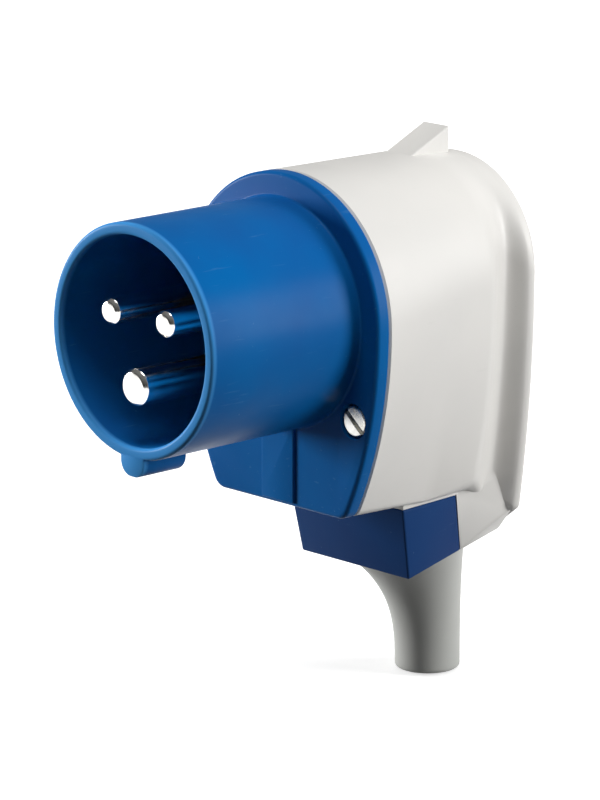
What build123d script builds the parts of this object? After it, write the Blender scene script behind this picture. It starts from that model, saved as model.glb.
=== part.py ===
from build123d import *
from collections import namedtuple
import math
import os

# Right-angle industrial plug, 16 A, two poles and earth. All sizes are in millimetres.
# The origin is the centre of the shroud's mouth, +Y runs into the plug, +Z is up, the cable leaves downwards.

# Clearances between pieces, and how far a cut runs past the face it opens
SLIP = 0.2
CLOSE = 0.05
THREAD_GAP = 0.03
PAST = 1.0

# Slotted screws: slot width, and the rounding of head and tip as shares of head height and radius
SLOT_WIDTH = 1.0
HEAD_EDGE = 0.3
TIP_EDGE = 0.3

# Shroud
SHROUD_RADIUS = 21.75
SHROUD_WALL = 2.25
SHROUD_LENGTH = 36.4
MOUTH_ROUND = 0.7
KEY_WIDTH = 6.4
KEY_HEIGHT = 3.3
KEY_LENGTH = 10.7
KEY_ROUND = 2.8
KEY_END_ROUND = 0.8

# Flange of the front cover, which the housing's front edge follows
FLANGE_MARGIN = 4.5
FLANGE_DROP = 14.75
FLANGE_FOOT_HALF_WIDTH = 17.4
FLANGE_CORNER = 3.0
LEAST_CORNER = 0.6
FLANGE_THICKNESS = 3.1
FLANGE_ROUND = 0.8
PANEL_WIDTH = 8.6
PANEL_HEIGHT = 0.5
PANEL_MARGIN = 0.8
SPIGOT_WALL = 1.4
SPIGOT_DEPTH = 3.0
COLLAR_DEPTH = 4.0

# Contact pins and their terminals
PIN_CIRCLE_RADIUS = 8.5
PHASE_PIN_RADIUS = 2.5
EARTH_PIN_RADIUS = 3.5
PHASE_PIN_SETBACK = 1.1
EARTH_PIN_SETBACK = 0.4
PIN_TIP_CHAMFER = 0.7
PIN_GROOVE_DEPTH = 0.3
PIN_GROOVE_FRONT = 0.5
PIN_GROOVE_REAR = 0.3
TERMINAL_WALL = 1.8
PHASE_WIRE_RADIUS = 2.2
EARTH_WIRE_RADIUS = 2.5
WIRE_HOLE_DEPTH = 12.0
TERMINAL_LENGTH = 15.5
TERMINAL_SCREW_RADIUS = 2.0
TERMINAL_SCREW_LENGTH = 6.0
TERMINAL_SCREW_SETBACK = 5.5

# Contact carrier and the plate behind it
CARRIER_SETBACK = 2.4
CARRIER_SEAT = 4.8
CARRIER_PLATE = 2.5
CARRIER_SOCKET_WALL = 1.8
EAR_X = 9.5
EAR_GAP = 4.06
EAR_RADIUS = 3.2
CARRIER_SCREW_RADIUS = 1.5
CARRIER_SCREW_LENGTH = 8.0
CENTRE_POST_RADIUS = 3.4
RETAINER_THICKNESS = 2.5
RETAINER_SCREW_RADIUS = 1.5
RETAINER_SCREW_LENGTH = 9.0

# Screws that hold the cover on the housing
COVER_SCREW_GAP = 4.49
COVER_SCREW_MARGIN = 4.5
COVER_SCREW_RADIUS = 1.75
COVER_SCREW_LENGTH = 9.5
COVER_SCREW_HEAD_RADIUS = 2.9
COVER_SCREW_HEAD_HEIGHT = 1.7
COVER_RECESS_DEPTH = 1.9
COVER_RECESS_RADIUS = 3.35
COVER_SCREW_TURN = 41
INSERT_WALL = 0.7
INSERT_LENGTH = 6.5
BOSS_WALL = 1.5
BOSS_LENGTH = 12.0

# Rear housing: how deep its shoulder and rim lie behind the flange, how far its grip and waist lie before the
# rim, and how much narrower than the flange, lower at the crown and foot and narrower at the foot each one is
HOUSING_WALL = 2.4
SHOULDER_DEPTH = 19.5
SHOULDER_NARROWING = 2.75
SHOULDER_LOWERING = 0.15
SHOULDER_FOOT_NARROWING = 1.0
SHOULDER_CORNER = 1.0
GRIP_FROM_RIM = 12.5
GRIP_NARROWING = 4.15
GRIP_LOWERING = 0.25
GRIP_FOOT_NARROWING = 0.2
GRIP_CORNER = 4.0
WAIST_FROM_RIM = 4.2
WAIST_NARROWING = 8.5
WAIST_LOWERING = 0.65
WAIST_DROP = 3.8
WAIST_FOOT_NARROWING = 3.6
WAIST_CORNER = 3.0
RIM_DEPTH = 42.5
RIM_NARROWING = 5.55
RIM_LOWERING = 1.65
RIM_DROP = 5.8
RIM_FOOT_NARROWING = 0.2
RIM_CORNER = 1.5
RIM_THICKNESS = 1.6
RIM_ROUND = 1.2
CHIN_NARROWING = 5.0
CHIN_DROP = 3.0
FOOT_DROP = 0.7
GRIP_STEPS = 2
JOINT_CHAMFER = 0.4
GASKET_WIDTH = 0.9
GASKET_HEIGHT = 1.3
GASKET_INSET = 0.7

# Wedge on the crown that catches a socket's lid
WEDGE_FROM_RIM = 4.8
WEDGE_LENGTH = 10.4
WEDGE_HEIGHT = 4.4
WEDGE_HALF_WIDTH = 3.4
WEDGE_FRONT_DROP = 0.3
WEDGE_ROUND = 0.5

# Cable neck: the clamp block in front, the housing's neck behind, both leaning back
NECK_LEAN = 10.5
NECK_FROM_RIM = 11.0
NECK_DROP = 12.2
CLAMP_SEAT_HEIGHT = 0.8
CLAMP_DEPTH = 15.2
CLAMP_FRONT_HALF_WIDTH = 14.6
CLAMP_REAR_HALF_WIDTH = 13.4
CLAMP_DRAFT = 1.0
CLAMP_EDGE = 0.5
NECK_REAR = 12.6
NECK_HALF_WIDTH = 12.4
NECK_CORNER = 5.0
NECK_TOP_HALF_WIDTH = 14.4
WEB_HEIGHT = 12.0
WEB_INSET = 0.8
WEB_EDGE = 0.6
CABLE_PASSAGE_RADIUS = 6.0
GRIP_RIB_HEIGHT = 0.9
GRIP_RIB_WIDTH = 1.2
GRIP_RIBS = 2
CLAMP_SCREW_X = 10.3
CLAMP_SCREW_DROP = 2.6
CLAMP_SCREW_RADIUS = 1.25
CLAMP_SCREW_HEAD_RADIUS = 2.25
CLAMP_SCREW_HEAD_HEIGHT = 1.6
CLAMP_SCREW_LENGTH = 16.0
CLAMP_HEAD_DEPTH = 4.5
NUT_WIDTH = 5.0
NUT_THICKNESS = 1.6
NUT_FROM_TIP = 0.8

# Cable sleeve and the seal above it
SLEEVE_LENGTH = 26.6
SLEEVE_TIP_RADIUS = 6.3
SLEEVE_TIP_BACK = 4.6
SLEEVE_TIP_ROUND = 0.9
SLEEVE_FLARE_RADIUS = 13.0
SLEEVE_FLARE_FORWARD = 4.0
SLEEVE_FLARE_POWER = 2.9
SLEEVE_STEPS = 6
SLEEVE_BORE_RADIUS = 4.4
SLEEVE_BORE_LENGTH = 20.0
SPIGOT_RADIUS = 8.0
SPIGOT_HEIGHT = 5.0
LIP_RADIUS = 9.4
LIP_HEIGHT = 1.8
SEAL_HEIGHT = 2.5
SEAL_BORE_RADIUS = 4.8

# Heights and places worked out from the sizes above
FLANGE_RADIUS = SHROUD_RADIUS + FLANGE_MARGIN
FLANGE_FOOT = -SHROUD_RADIUS - FLANGE_DROP
FLANGE_BACK = SHROUD_LENGTH + FLANGE_THICKNESS
BORE_RADIUS = SHROUD_RADIUS - SHROUD_WALL
COLLAR_END = FLANGE_BACK + COLLAR_DEPTH
CARRIER_FACE = SHROUD_LENGTH - CARRIER_SETBACK
EAR_Z = -math.sqrt((SHROUD_RADIUS + EAR_GAP) ** 2 - EAR_X ** 2)
PIN_SHOULDER = CARRIER_FACE + CARRIER_SEAT
TERMINAL_END = PIN_SHOULDER + TERMINAL_LENGTH
CARRIER_END = TERMINAL_END + SLIP
TERMINAL_SCREW_Y = TERMINAL_END - TERMINAL_SCREW_SETBACK
RETAINER_END = CARRIER_END + RETAINER_THICKNESS
HOUSING_FOOT = FLANGE_FOOT - FOOT_DROP
SHOULDER_Y = FLANGE_BACK + SHOULDER_DEPTH
SHOULDER_HALF_WIDTH = FLANGE_RADIUS - SHOULDER_NARROWING
SHOULDER_TOP = FLANGE_RADIUS - SHOULDER_LOWERING
SHOULDER_FOOT_HALF_WIDTH = FLANGE_FOOT_HALF_WIDTH - SHOULDER_FOOT_NARROWING
RIM_Y = FLANGE_BACK + RIM_DEPTH
GRIP_Y = RIM_Y - GRIP_FROM_RIM
GRIP_HALF_WIDTH = FLANGE_RADIUS - GRIP_NARROWING
GRIP_TOP = FLANGE_RADIUS - GRIP_LOWERING
GRIP_FOOT_HALF_WIDTH = FLANGE_FOOT_HALF_WIDTH - GRIP_FOOT_NARROWING
WAIST_Y = RIM_Y - WAIST_FROM_RIM
WAIST_HALF_WIDTH = FLANGE_RADIUS - WAIST_NARROWING
WAIST_TOP = FLANGE_RADIUS - WAIST_LOWERING
WAIST_FOOT = HOUSING_FOOT - WAIST_DROP
WAIST_FOOT_HALF_WIDTH = FLANGE_FOOT_HALF_WIDTH - WAIST_FOOT_NARROWING
RIM_HALF_WIDTH = FLANGE_RADIUS - RIM_NARROWING
RIM_TOP = FLANGE_RADIUS - RIM_LOWERING
RIM_FOOT = HOUSING_FOOT - RIM_DROP
RIM_FOOT_HALF_WIDTH = FLANGE_FOOT_HALF_WIDTH - RIM_FOOT_NARROWING
CHIN = (RIM_FOOT_HALF_WIDTH - CHIN_NARROWING, RIM_FOOT - CHIN_DROP)
HOUSING_BACK = RIM_Y + RIM_THICKNESS
NECK_Y = RIM_Y - NECK_FROM_RIM
NECK_Z = HOUSING_FOOT - NECK_DROP
CLAMP_TOP = HOUSING_FOOT - CLAMP_SEAT_HEIGHT
CLAMP_SCREW_Z = CLAMP_TOP - CLAMP_SCREW_DROP
SLEEVE_TIP_Y = NECK_Y + SLEEVE_TIP_BACK
SLEEVE_TIP_Z = NECK_Z - SLEEVE_LENGTH
SLEEVE_FLARE_Y = NECK_Y - SLEEVE_FLARE_FORWARD
INSERT_RADIUS = COVER_SCREW_RADIUS + INSERT_WALL
CLAMP_HEAD_SEAT = HOUSING_BACK - CLAMP_HEAD_DEPTH
NUT_Y = CLAMP_HEAD_SEAT - CLAMP_SCREW_LENGTH + NUT_FROM_TIP + NUT_THICKNESS / 2
CARRIER_BACK = COLLAR_END + CARRIER_PLATE
BOSS_RADIUS = INSERT_RADIUS + BOSS_WALL
INSERT_END = FLANGE_BACK + SLIP + INSERT_LENGTH
LEAN = math.radians(NECK_LEAN)
CLAMP_HEIGHT = (CLAMP_TOP - NECK_Z) / math.cos(LEAN) + CLAMP_DEPTH * math.tan(LEAN)
SEAL_FOOT = SPIGOT_HEIGHT + CLOSE
WHOLE = 4 * HOUSING_BACK
SIDES = (-1, 1)

# Radius and centre of the flange's long side arc, and the cover screws' place: a set gap from the shroud and
# a set margin from that arc
SIDE_LEAN = FLANGE_RADIUS - FLANGE_FOOT_HALF_WIDTH
SIDE_RADIUS = (SIDE_LEAN ** 2 + FLANGE_FOOT ** 2) / (2 * SIDE_LEAN)
SIDE_CENTRE = FLANGE_RADIUS - SIDE_RADIUS
SCREW_CIRCLE = SHROUD_RADIUS + COVER_SCREW_GAP
SCREW_ARC = SIDE_RADIUS - COVER_SCREW_MARGIN
COVER_SCREW_X = (SIDE_CENTRE ** 2 + SCREW_CIRCLE ** 2 - SCREW_ARC ** 2) / (2 * SIDE_CENTRE)
COVER_SCREW_Z = -math.sqrt(SCREW_CIRCLE ** 2 - COVER_SCREW_X ** 2)

# The pins on their circle: angle from +X seen from the front, pin and wire radius, setback from the mouth
Pin = namedtuple("Pin", "angle radius wire_radius setback")
PINS = {
    "live_pin": Pin(150, PHASE_PIN_RADIUS, PHASE_WIRE_RADIUS, PHASE_PIN_SETBACK),
    "neutral_pin": Pin(30, PHASE_PIN_RADIUS, PHASE_WIRE_RADIUS, PHASE_PIN_SETBACK),
    "earth_pin": Pin(270, EARTH_PIN_RADIUS, EARTH_WIRE_RADIUS, EARTH_PIN_SETBACK),
}

NECK_FRAME = Plane(
    origin=(0, NECK_Y, NECK_Z),
    x_dir=(1, 0, 0),
    z_dir=(0, -math.sin(LEAN), math.cos(LEAN)),
)


def upright(y):
    """Plane across the plug at a depth y, with local x along X and local y along Z."""
    return Plane(origin=(0, y, 0), x_dir=(1, 0, 0), z_dir=(0, -1, 0))


def rod(radius, start, end, x=0.0, z=0.0):
    """Cylinder along Y from one depth to another."""
    return Pos(x, (start + end) / 2, z) * Rot(90, 0, 0) * Cylinder(radius, end - start)


def deepen(sketch, depth):
    """Extrude an upright sketch into the plug."""
    return extrude(sketch, amount=depth, dir=(0, 1, 0))


def arched_section(y, half_width, top, foot, foot_half_width, corner, inset=0.0, chin=None):
    """Round-topped section: a half circle, two long side arcs and a flat foot with round corners.

    A chin, given as its half-width and its foot, hangs below the foot.
    """
    half_width -= inset
    foot_half_width -= inset
    foot += inset
    centre = top - inset - half_width
    crown = ThreePointArc((-half_width, centre), (0, centre + half_width), (half_width, centre))
    right = TangentArc((half_width, centre), (foot_half_width, foot), tangent=(0, -1))
    base = [(foot_half_width, foot), (-foot_half_width, foot)]
    if chin:
        base[1:1] = [chin, (-chin[0], chin[1])]
    left = TangentArc((-half_width, centre), (-foot_half_width, foot), tangent=(0, -1))
    face = make_face(crown + right + Polyline(*base) + left)
    corners = face.vertices().sort_by(Axis.Y)[: len(base)]
    return upright(y) * fillet(corners, max(corner - inset, LEAST_CORNER))


def flange_section(y, inset=0.0):
    """The flange's outline at a depth, drawn in by an inset."""
    return arched_section(
        y, FLANGE_RADIUS, FLANGE_RADIUS, FLANGE_FOOT, FLANGE_FOOT_HALF_WIDTH, FLANGE_CORNER, inset
    )


def pin_place(angle, radius=PIN_CIRCLE_RADIUS):
    """X and Z of a point on a circle round the shroud's axis."""
    turn = math.radians(angle)
    return radius * math.cos(turn), radius * math.sin(turn)


def terminal_radius(wire_radius):
    """Outer radius of a pin's terminal end."""
    return wire_radius + TERMINAL_WALL


def slotted_screw(radius, length, head_radius, head_height, turn=0.0):
    """Screw along Y with its head's underside at y = 0, the shank running to +Y and a slot in its head."""
    head = rod(head_radius, -head_height, 0)
    head = fillet(head.faces().sort_by(Axis.Y)[0].edges(), HEAD_EDGE * head_height)
    slot = Pos(0, -head_height, 0) * Rot(0, turn, 0) * Box(2 * (head_radius + PAST), head_height, SLOT_WIDTH)
    shank = rod(radius, 0, length)
    shank = chamfer(shank.faces().sort_by(Axis.Y)[-1].edges(), TIP_EDGE * radius)
    return head - slot + shank


def keying_rib():
    """Round-footed rib under the shroud's mouth, its root inside the shroud's wall."""
    root = -(SHROUD_RADIUS + BORE_RADIUS) / 2
    foot = -SHROUD_RADIUS - KEY_HEIGHT
    face = Pos(0, (root + foot) / 2) * Rectangle(KEY_WIDTH, root - foot)
    face = fillet(face.vertices().sort_by(Axis.Y)[:2], KEY_ROUND)
    rib = deepen(upright(0) * face, KEY_LENGTH)
    return fillet(rib.faces().sort_by(Axis.Y)[-1].edges(), KEY_END_ROUND)


def cover_spigot():
    """Rim behind the flange that centres the cover in the housing, broken where the screw bosses stand."""
    inset = HOUSING_WALL + SLIP
    rim = deepen(flange_section(FLANGE_BACK, inset), SPIGOT_DEPTH)
    rim -= deepen(flange_section(FLANGE_BACK, inset + SPIGOT_WALL), SPIGOT_DEPTH)
    for side in SIDES:
        x = side * COVER_SCREW_X
        rim -= rod(BOSS_RADIUS + SLIP, FLANGE_BACK, FLANGE_BACK + SPIGOT_DEPTH, x, COVER_SCREW_Z)
    return rim


def front_cover():
    """Shroud, keying rib and flange, one moulding, with collar, bosses and spigot behind the flange."""
    tube = rod(SHROUD_RADIUS, 0, COLLAR_END) - rod(BORE_RADIUS, -PAST, COLLAR_END + PAST)
    mouth = tube.edges().filter_by(GeomType.CIRCLE).group_by(Axis.Y)[0]
    tube = fillet(mouth, MOUTH_ROUND)

    plate = deepen(flange_section(SHROUD_LENGTH), FLANGE_THICKNESS)
    plate = fillet(plate.faces().sort_by(Axis.Y)[0].edges(), FLANGE_ROUND)
    plate = chamfer(plate.faces().sort_by(Axis.Y)[-1].edges(), JOINT_CHAMFER)

    panel_foot = FLANGE_FOOT + PANEL_MARGIN
    panel_top = -(SHROUD_RADIUS + BORE_RADIUS) / 2
    panel = Box(PANEL_WIDTH, 2 * PANEL_HEIGHT, panel_top - panel_foot)
    panel = Pos(0, SHROUD_LENGTH, (panel_top + panel_foot) / 2) * panel

    cover = tube + plate + keying_rib() + panel + cover_spigot()
    for side in SIDES:
        cover += rod(EAR_RADIUS, FLANGE_BACK, COLLAR_END, side * EAR_X, EAR_Z)
    cover -= rod(BORE_RADIUS, CARRIER_FACE, COLLAR_END + PAST)
    ear_hole = COLLAR_END - (CARRIER_SCREW_LENGTH - CARRIER_PLATE) - SLIP
    recess_floor = SHROUD_LENGTH + COVER_RECESS_DEPTH
    for side in SIDES:
        x = side * COVER_SCREW_X
        cover -= rod(CARRIER_SCREW_RADIUS + THREAD_GAP, ear_hole, COLLAR_END, side * EAR_X, EAR_Z)
        cover -= rod(COVER_SCREW_RADIUS + SLIP, SHROUD_LENGTH, FLANGE_BACK + PAST, x, COVER_SCREW_Z)
        cover -= rod(COVER_RECESS_RADIUS, SHROUD_LENGTH - PAST, recess_floor, x, COVER_SCREW_Z)
    return cover


def contact_carrier():
    """Black moulding in the shroud's bore, with a socket for each pin's terminal end."""
    body = rod(BORE_RADIUS - SLIP, CARRIER_FACE, COLLAR_END)
    body += rod(SHROUD_RADIUS, COLLAR_END, CARRIER_BACK)
    for side in SIDES:
        x = side * EAR_X
        web = Pos(x, (COLLAR_END + CARRIER_BACK) / 2, EAR_Z / 2) * Box(2 * EAR_RADIUS, CARRIER_PLATE, -EAR_Z)
        body += rod(EAR_RADIUS, COLLAR_END, CARRIER_BACK, x, EAR_Z) + web
    body += rod(CENTRE_POST_RADIUS, COLLAR_END, CARRIER_END)
    for pin in PINS.values():
        x, z = pin_place(pin.angle)
        socket_radius = terminal_radius(pin.wire_radius) + SLIP + CARRIER_SOCKET_WALL
        body += rod(socket_radius, COLLAR_END, CARRIER_END, x, z)
    for pin in PINS.values():
        x, z = pin_place(pin.angle)
        body -= rod(terminal_radius(pin.wire_radius) + SLIP / 2, PIN_SHOULDER, CARRIER_END + PAST, x, z)
        body -= rod(pin.radius + CLOSE, CARRIER_FACE - PAST, PIN_SHOULDER + PAST, x, z)
        body -= screw_window(pin.angle)
    for side in SIDES:
        x = side * EAR_X
        body -= rod(CARRIER_SCREW_RADIUS + SLIP, COLLAR_END - PAST, CARRIER_BACK + PAST, x, EAR_Z)
    post_hole = CARRIER_END - (RETAINER_SCREW_LENGTH - RETAINER_THICKNESS) - SLIP
    return body - rod(RETAINER_SCREW_RADIUS + THREAD_GAP, post_hole, CARRIER_END + PAST)


def radial(angle, start, end, radius, y):
    """Cylinder that runs outwards from the shroud's axis between two distances, at a depth y."""
    length = end - start
    x, z = pin_place(angle, (start + end) / 2)
    return Pos(x, y, z) * Rot(0, 90 - angle, 0) * Cylinder(radius, length)


def screw_window(angle):
    """Hole in a carrier socket that lets a terminal screw through."""
    socket_radius = terminal_radius(max(PHASE_WIRE_RADIUS, EARTH_WIRE_RADIUS)) + SLIP + CARRIER_SOCKET_WALL
    reach = PIN_CIRCLE_RADIUS + socket_radius + PAST
    return radial(angle, PIN_CIRCLE_RADIUS, reach, TERMINAL_SCREW_RADIUS + SLIP, TERMINAL_SCREW_Y)


def contact_pin(pin):
    """Turned pin: chamfered contact end with a relief groove, shoulder, bored and cross-drilled terminal."""
    x, z = pin_place(pin.angle)
    contact = rod(pin.radius, pin.setback, PIN_SHOULDER, x, z)
    contact = chamfer(contact.faces().sort_by(Axis.Y)[0].edges(), PIN_TIP_CHAMFER)
    groove = rod(pin.radius + PAST, CARRIER_FACE - PIN_GROOVE_FRONT, CARRIER_FACE + PIN_GROOVE_REAR, x, z)
    core = rod(pin.radius - PIN_GROOVE_DEPTH, pin.setback, PIN_SHOULDER, x, z)
    contact -= groove - core
    terminal = rod(terminal_radius(pin.wire_radius), PIN_SHOULDER, TERMINAL_END, x, z)
    terminal -= rod(pin.wire_radius, TERMINAL_END - WIRE_HOLE_DEPTH, TERMINAL_END, x, z)
    reach = PIN_CIRCLE_RADIUS + terminal_radius(pin.wire_radius) + PAST
    thread = TERMINAL_SCREW_RADIUS + THREAD_GAP
    return contact + terminal - radial(pin.angle, PIN_CIRCLE_RADIUS, reach, thread, TERMINAL_SCREW_Y)


def terminal_screws():
    """Slotted grub screws that stand radially in the three terminal ends."""
    screws = []
    for pin in PINS.values():
        inner = PIN_CIRCLE_RADIUS + pin.wire_radius - TERMINAL_WALL / 2
        outer = inner + TERMINAL_SCREW_LENGTH
        screw = radial(pin.angle, inner, outer, TERMINAL_SCREW_RADIUS, TERMINAL_SCREW_Y)
        x, z = pin_place(pin.angle, outer)
        slot = Box(SLOT_WIDTH, 2 * (TERMINAL_SCREW_RADIUS + PAST), TERMINAL_SCREW_RADIUS)
        screws.append(screw - Pos(x, TERMINAL_SCREW_Y, z) * Rot(0, 90 - pin.angle, 0) * slot)
    return screws


def pin_retainer():
    """Three-lobed plate that closes the carrier's sockets behind the terminal ends."""
    plate = rod(PIN_CIRCLE_RADIUS, CARRIER_END, RETAINER_END)
    for pin in PINS.values():
        x, z = pin_place(pin.angle)
        lobe_radius = terminal_radius(pin.wire_radius) + CARRIER_SOCKET_WALL
        plate += rod(lobe_radius, CARRIER_END, RETAINER_END, x, z)
    for pin in PINS.values():
        x, z = pin_place(pin.angle)
        plate -= rod(pin.wire_radius + 2 * SLIP, CARRIER_END - PAST, RETAINER_END + PAST, x, z)
    return plate - rod(RETAINER_SCREW_RADIUS + SLIP, CARRIER_END - PAST, RETAINER_END + PAST)


def small_screw(radius, length):
    """Slotted screw with a head not quite twice as wide as its shank."""
    return slotted_screw(radius, length, 2 * radius - 2 * SLIP, radius)


def retainer_screw():
    """Screw through the middle of the retainer into the carrier's post, its head to the rear."""
    screw = small_screw(RETAINER_SCREW_RADIUS, RETAINER_SCREW_LENGTH)
    return Pos(0, RETAINER_END, 0) * Rot(0, 0, 180) * screw


def carrier_screws():
    """Screws through the carrier's ears into the bosses behind the flange."""
    screw = Rot(0, 0, 180) * small_screw(CARRIER_SCREW_RADIUS, CARRIER_SCREW_LENGTH)
    return [Pos(side * EAR_X, CARRIER_BACK, EAR_Z) * screw for side in SIDES]


def cover_screws():
    """Slotted screws in the flange's two recesses."""
    screw = slotted_screw(
        COVER_SCREW_RADIUS,
        COVER_SCREW_LENGTH,
        COVER_SCREW_HEAD_RADIUS,
        COVER_SCREW_HEAD_HEIGHT,
        COVER_SCREW_TURN,
    )
    seat = SHROUD_LENGTH + COVER_RECESS_DEPTH
    return [Pos(side * COVER_SCREW_X, seat, COVER_SCREW_Z) * screw for side in SIDES]


def cover_inserts():
    """Brass threaded inserts at the mouths of the housing's two bosses."""
    bush = rod(INSERT_RADIUS, FLANGE_BACK + SLIP, INSERT_END)
    bush -= rod(COVER_SCREW_RADIUS + THREAD_GAP, FLANGE_BACK, INSERT_END + PAST)
    return [Pos(side * COVER_SCREW_X, 0, COVER_SCREW_Z) * bush for side in SIDES]


def cover_gasket():
    """Rubber seal in the groove of the housing's front edge."""
    ring = deepen(flange_section(FLANGE_BACK, GASKET_INSET), GASKET_HEIGHT)
    return ring - deepen(flange_section(FLANGE_BACK, GASKET_INSET + GASKET_WIDTH), GASKET_HEIGHT)


def between(first, second, share):
    """Section sizes part of the way from one section to another, eased at both ends."""
    eased = (1 - math.cos(math.pi * share)) / 2
    y = first[0] + (second[0] - first[0]) * share
    return (y,) + tuple(a + (b - a) * eased for a, b in zip(first[1:], second[1:]))


def housing_form():
    """Outside of the housing without its neck: straight behind the flange, then grip, waist and rear rim."""
    shoulder = (
        SHOULDER_Y,
        SHOULDER_HALF_WIDTH,
        SHOULDER_TOP,
        HOUSING_FOOT,
        SHOULDER_FOOT_HALF_WIDTH,
        SHOULDER_CORNER,
    )
    grip = (GRIP_Y, GRIP_HALF_WIDTH, GRIP_TOP, HOUSING_FOOT, GRIP_FOOT_HALF_WIDTH, GRIP_CORNER)
    waist = (WAIST_Y, WAIST_HALF_WIDTH, WAIST_TOP, WAIST_FOOT, WAIST_FOOT_HALF_WIDTH, WAIST_CORNER)
    rim = (RIM_Y, RIM_HALF_WIDTH, RIM_TOP, RIM_FOOT, RIM_FOOT_HALF_WIDTH, RIM_CORNER)
    front = loft([flange_section(FLANGE_BACK), arched_section(*shoulder), arched_section(*grip)], ruled=True)
    stages = [grip]
    for first, second in ((grip, waist), (waist, rim)):
        stages += [between(first, second, step / GRIP_STEPS) for step in range(1, GRIP_STEPS + 1)]
    rear = loft([arched_section(*stage) for stage in stages])
    edge = deepen(arched_section(*rim, chin=CHIN), RIM_THICKNESS)
    edge = fillet(edge.faces().sort_by(Axis.Y)[-1].edges(), RIM_ROUND)
    return front + rear + edge


def spigot_seat():
    """Straight seat for the cover's spigot inside the housing's mouth."""
    return deepen(flange_section(FLANGE_BACK - PAST, HOUSING_WALL), PAST + SPIGOT_DEPTH + SLIP)


def wiring_space():
    """Space for the wires inside the housing, open to the front."""
    middle = arched_section(
        SHOULDER_Y,
        SHOULDER_HALF_WIDTH,
        SHOULDER_TOP,
        FLANGE_FOOT,
        SHOULDER_FOOT_HALF_WIDTH,
        FLANGE_CORNER,
        HOUSING_WALL,
    )
    rear = arched_section(
        HOUSING_BACK - HOUSING_WALL,
        WAIST_HALF_WIDTH,
        RIM_TOP - HOUSING_WALL / 2,
        HOUSING_FOOT,
        WAIST_FOOT_HALF_WIDTH,
        FLANGE_CORNER,
        HOUSING_WALL,
    )
    return loft([flange_section(FLANGE_BACK - PAST, HOUSING_WALL), middle, rear])


def joint_bevel():
    """Ring that bevels the housing's front edge where it meets the flange."""
    ring = deepen(flange_section(FLANGE_BACK, -JOINT_CHAMFER), JOINT_CHAMFER)
    core = loft([flange_section(FLANGE_BACK, JOINT_CHAMFER), flange_section(FLANGE_BACK + JOINT_CHAMFER)])
    return ring - core


def neck_section(height, front, rear, front_half_width, rear_half_width, corner):
    """Level section of the cable neck in its leaning frame, with round rear corners."""
    outline = Polyline(
        (-front_half_width, front),
        (front_half_width, front),
        (rear_half_width, rear),
        (-rear_half_width, rear),
        close=True,
    )
    face = make_face(outline)
    face = fillet(face.vertices().sort_by(Axis.Y)[-2:], corner)
    return NECK_FRAME * Pos(0, 0, height) * face


def along_neck(radius, start, end):
    """Cylinder on the neck's leaning axis between two heights."""
    return NECK_FRAME * Pos(0, 0, (start + end) / 2) * Cylinder(radius, end - start)


def cable_path():
    """What the cable, its seal and the sleeve's spigot and lip take out of the neck and the clamp block."""
    lip_top = SPIGOT_HEIGHT + SLIP
    lip_foot = SPIGOT_HEIGHT - LIP_HEIGHT - SLIP
    seal_top = lip_top + SEAL_HEIGHT
    floor_height = (FLANGE_FOOT + HOUSING_WALL - NECK_Z) / math.cos(LEAN)
    path = along_neck(CABLE_PASSAGE_RADIUS, 0, floor_height + CABLE_PASSAGE_RADIUS * math.tan(LEAN) + PAST)
    path += along_neck(SPIGOT_RADIUS, lip_foot, seal_top)
    path += along_neck(SPIGOT_RADIUS + SLIP, -PAST, lip_top)
    return path + along_neck(LIP_RADIUS + SLIP, lip_foot, lip_top)


def clamp_screw_holes():
    """Counterbored clearance holes for the clamp screws, from the rear of the neck to the clamp block."""
    hole = rod(CLAMP_SCREW_RADIUS + SLIP, NUT_Y - NUT_THICKNESS, HOUSING_BACK + PAST)
    hole += rod(CLAMP_SCREW_HEAD_RADIUS + SLIP, CLAMP_HEAD_SEAT, HOUSING_BACK + PAST)
    left, right = [Pos(side * CLAMP_SCREW_X, 0, CLAMP_SCREW_Z) * hole for side in SIDES]
    return left + right


def clamp_block():
    """The clamp block's tapered form in its leaning frame, as high as the seat needs or higher."""
    sections = []
    for height, spread in ((0, 0), (CLAMP_HEIGHT, CLAMP_DRAFT)):
        outline = Polyline(
            (-CLAMP_FRONT_HALF_WIDTH - spread, -CLAMP_DEPTH),
            (CLAMP_FRONT_HALF_WIDTH + spread, -CLAMP_DEPTH),
            (CLAMP_REAR_HALF_WIDTH + spread, 0),
            (-CLAMP_REAR_HALF_WIDTH - spread, 0),
            close=True,
        )
        sections.append(NECK_FRAME * Pos(0, 0, height) * make_face(outline))
    return loft(sections)


def clamp_seat():
    """Flat pad under the housing's floor that the clamp block is drawn up to."""
    footprint = section(clamp_block(), Plane.XY.offset(CLAMP_TOP))
    return extrude(footprint, amount=FLANGE_FOOT - CLAMP_TOP + HOUSING_WALL / 2, dir=(0, 0, 1))


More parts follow.
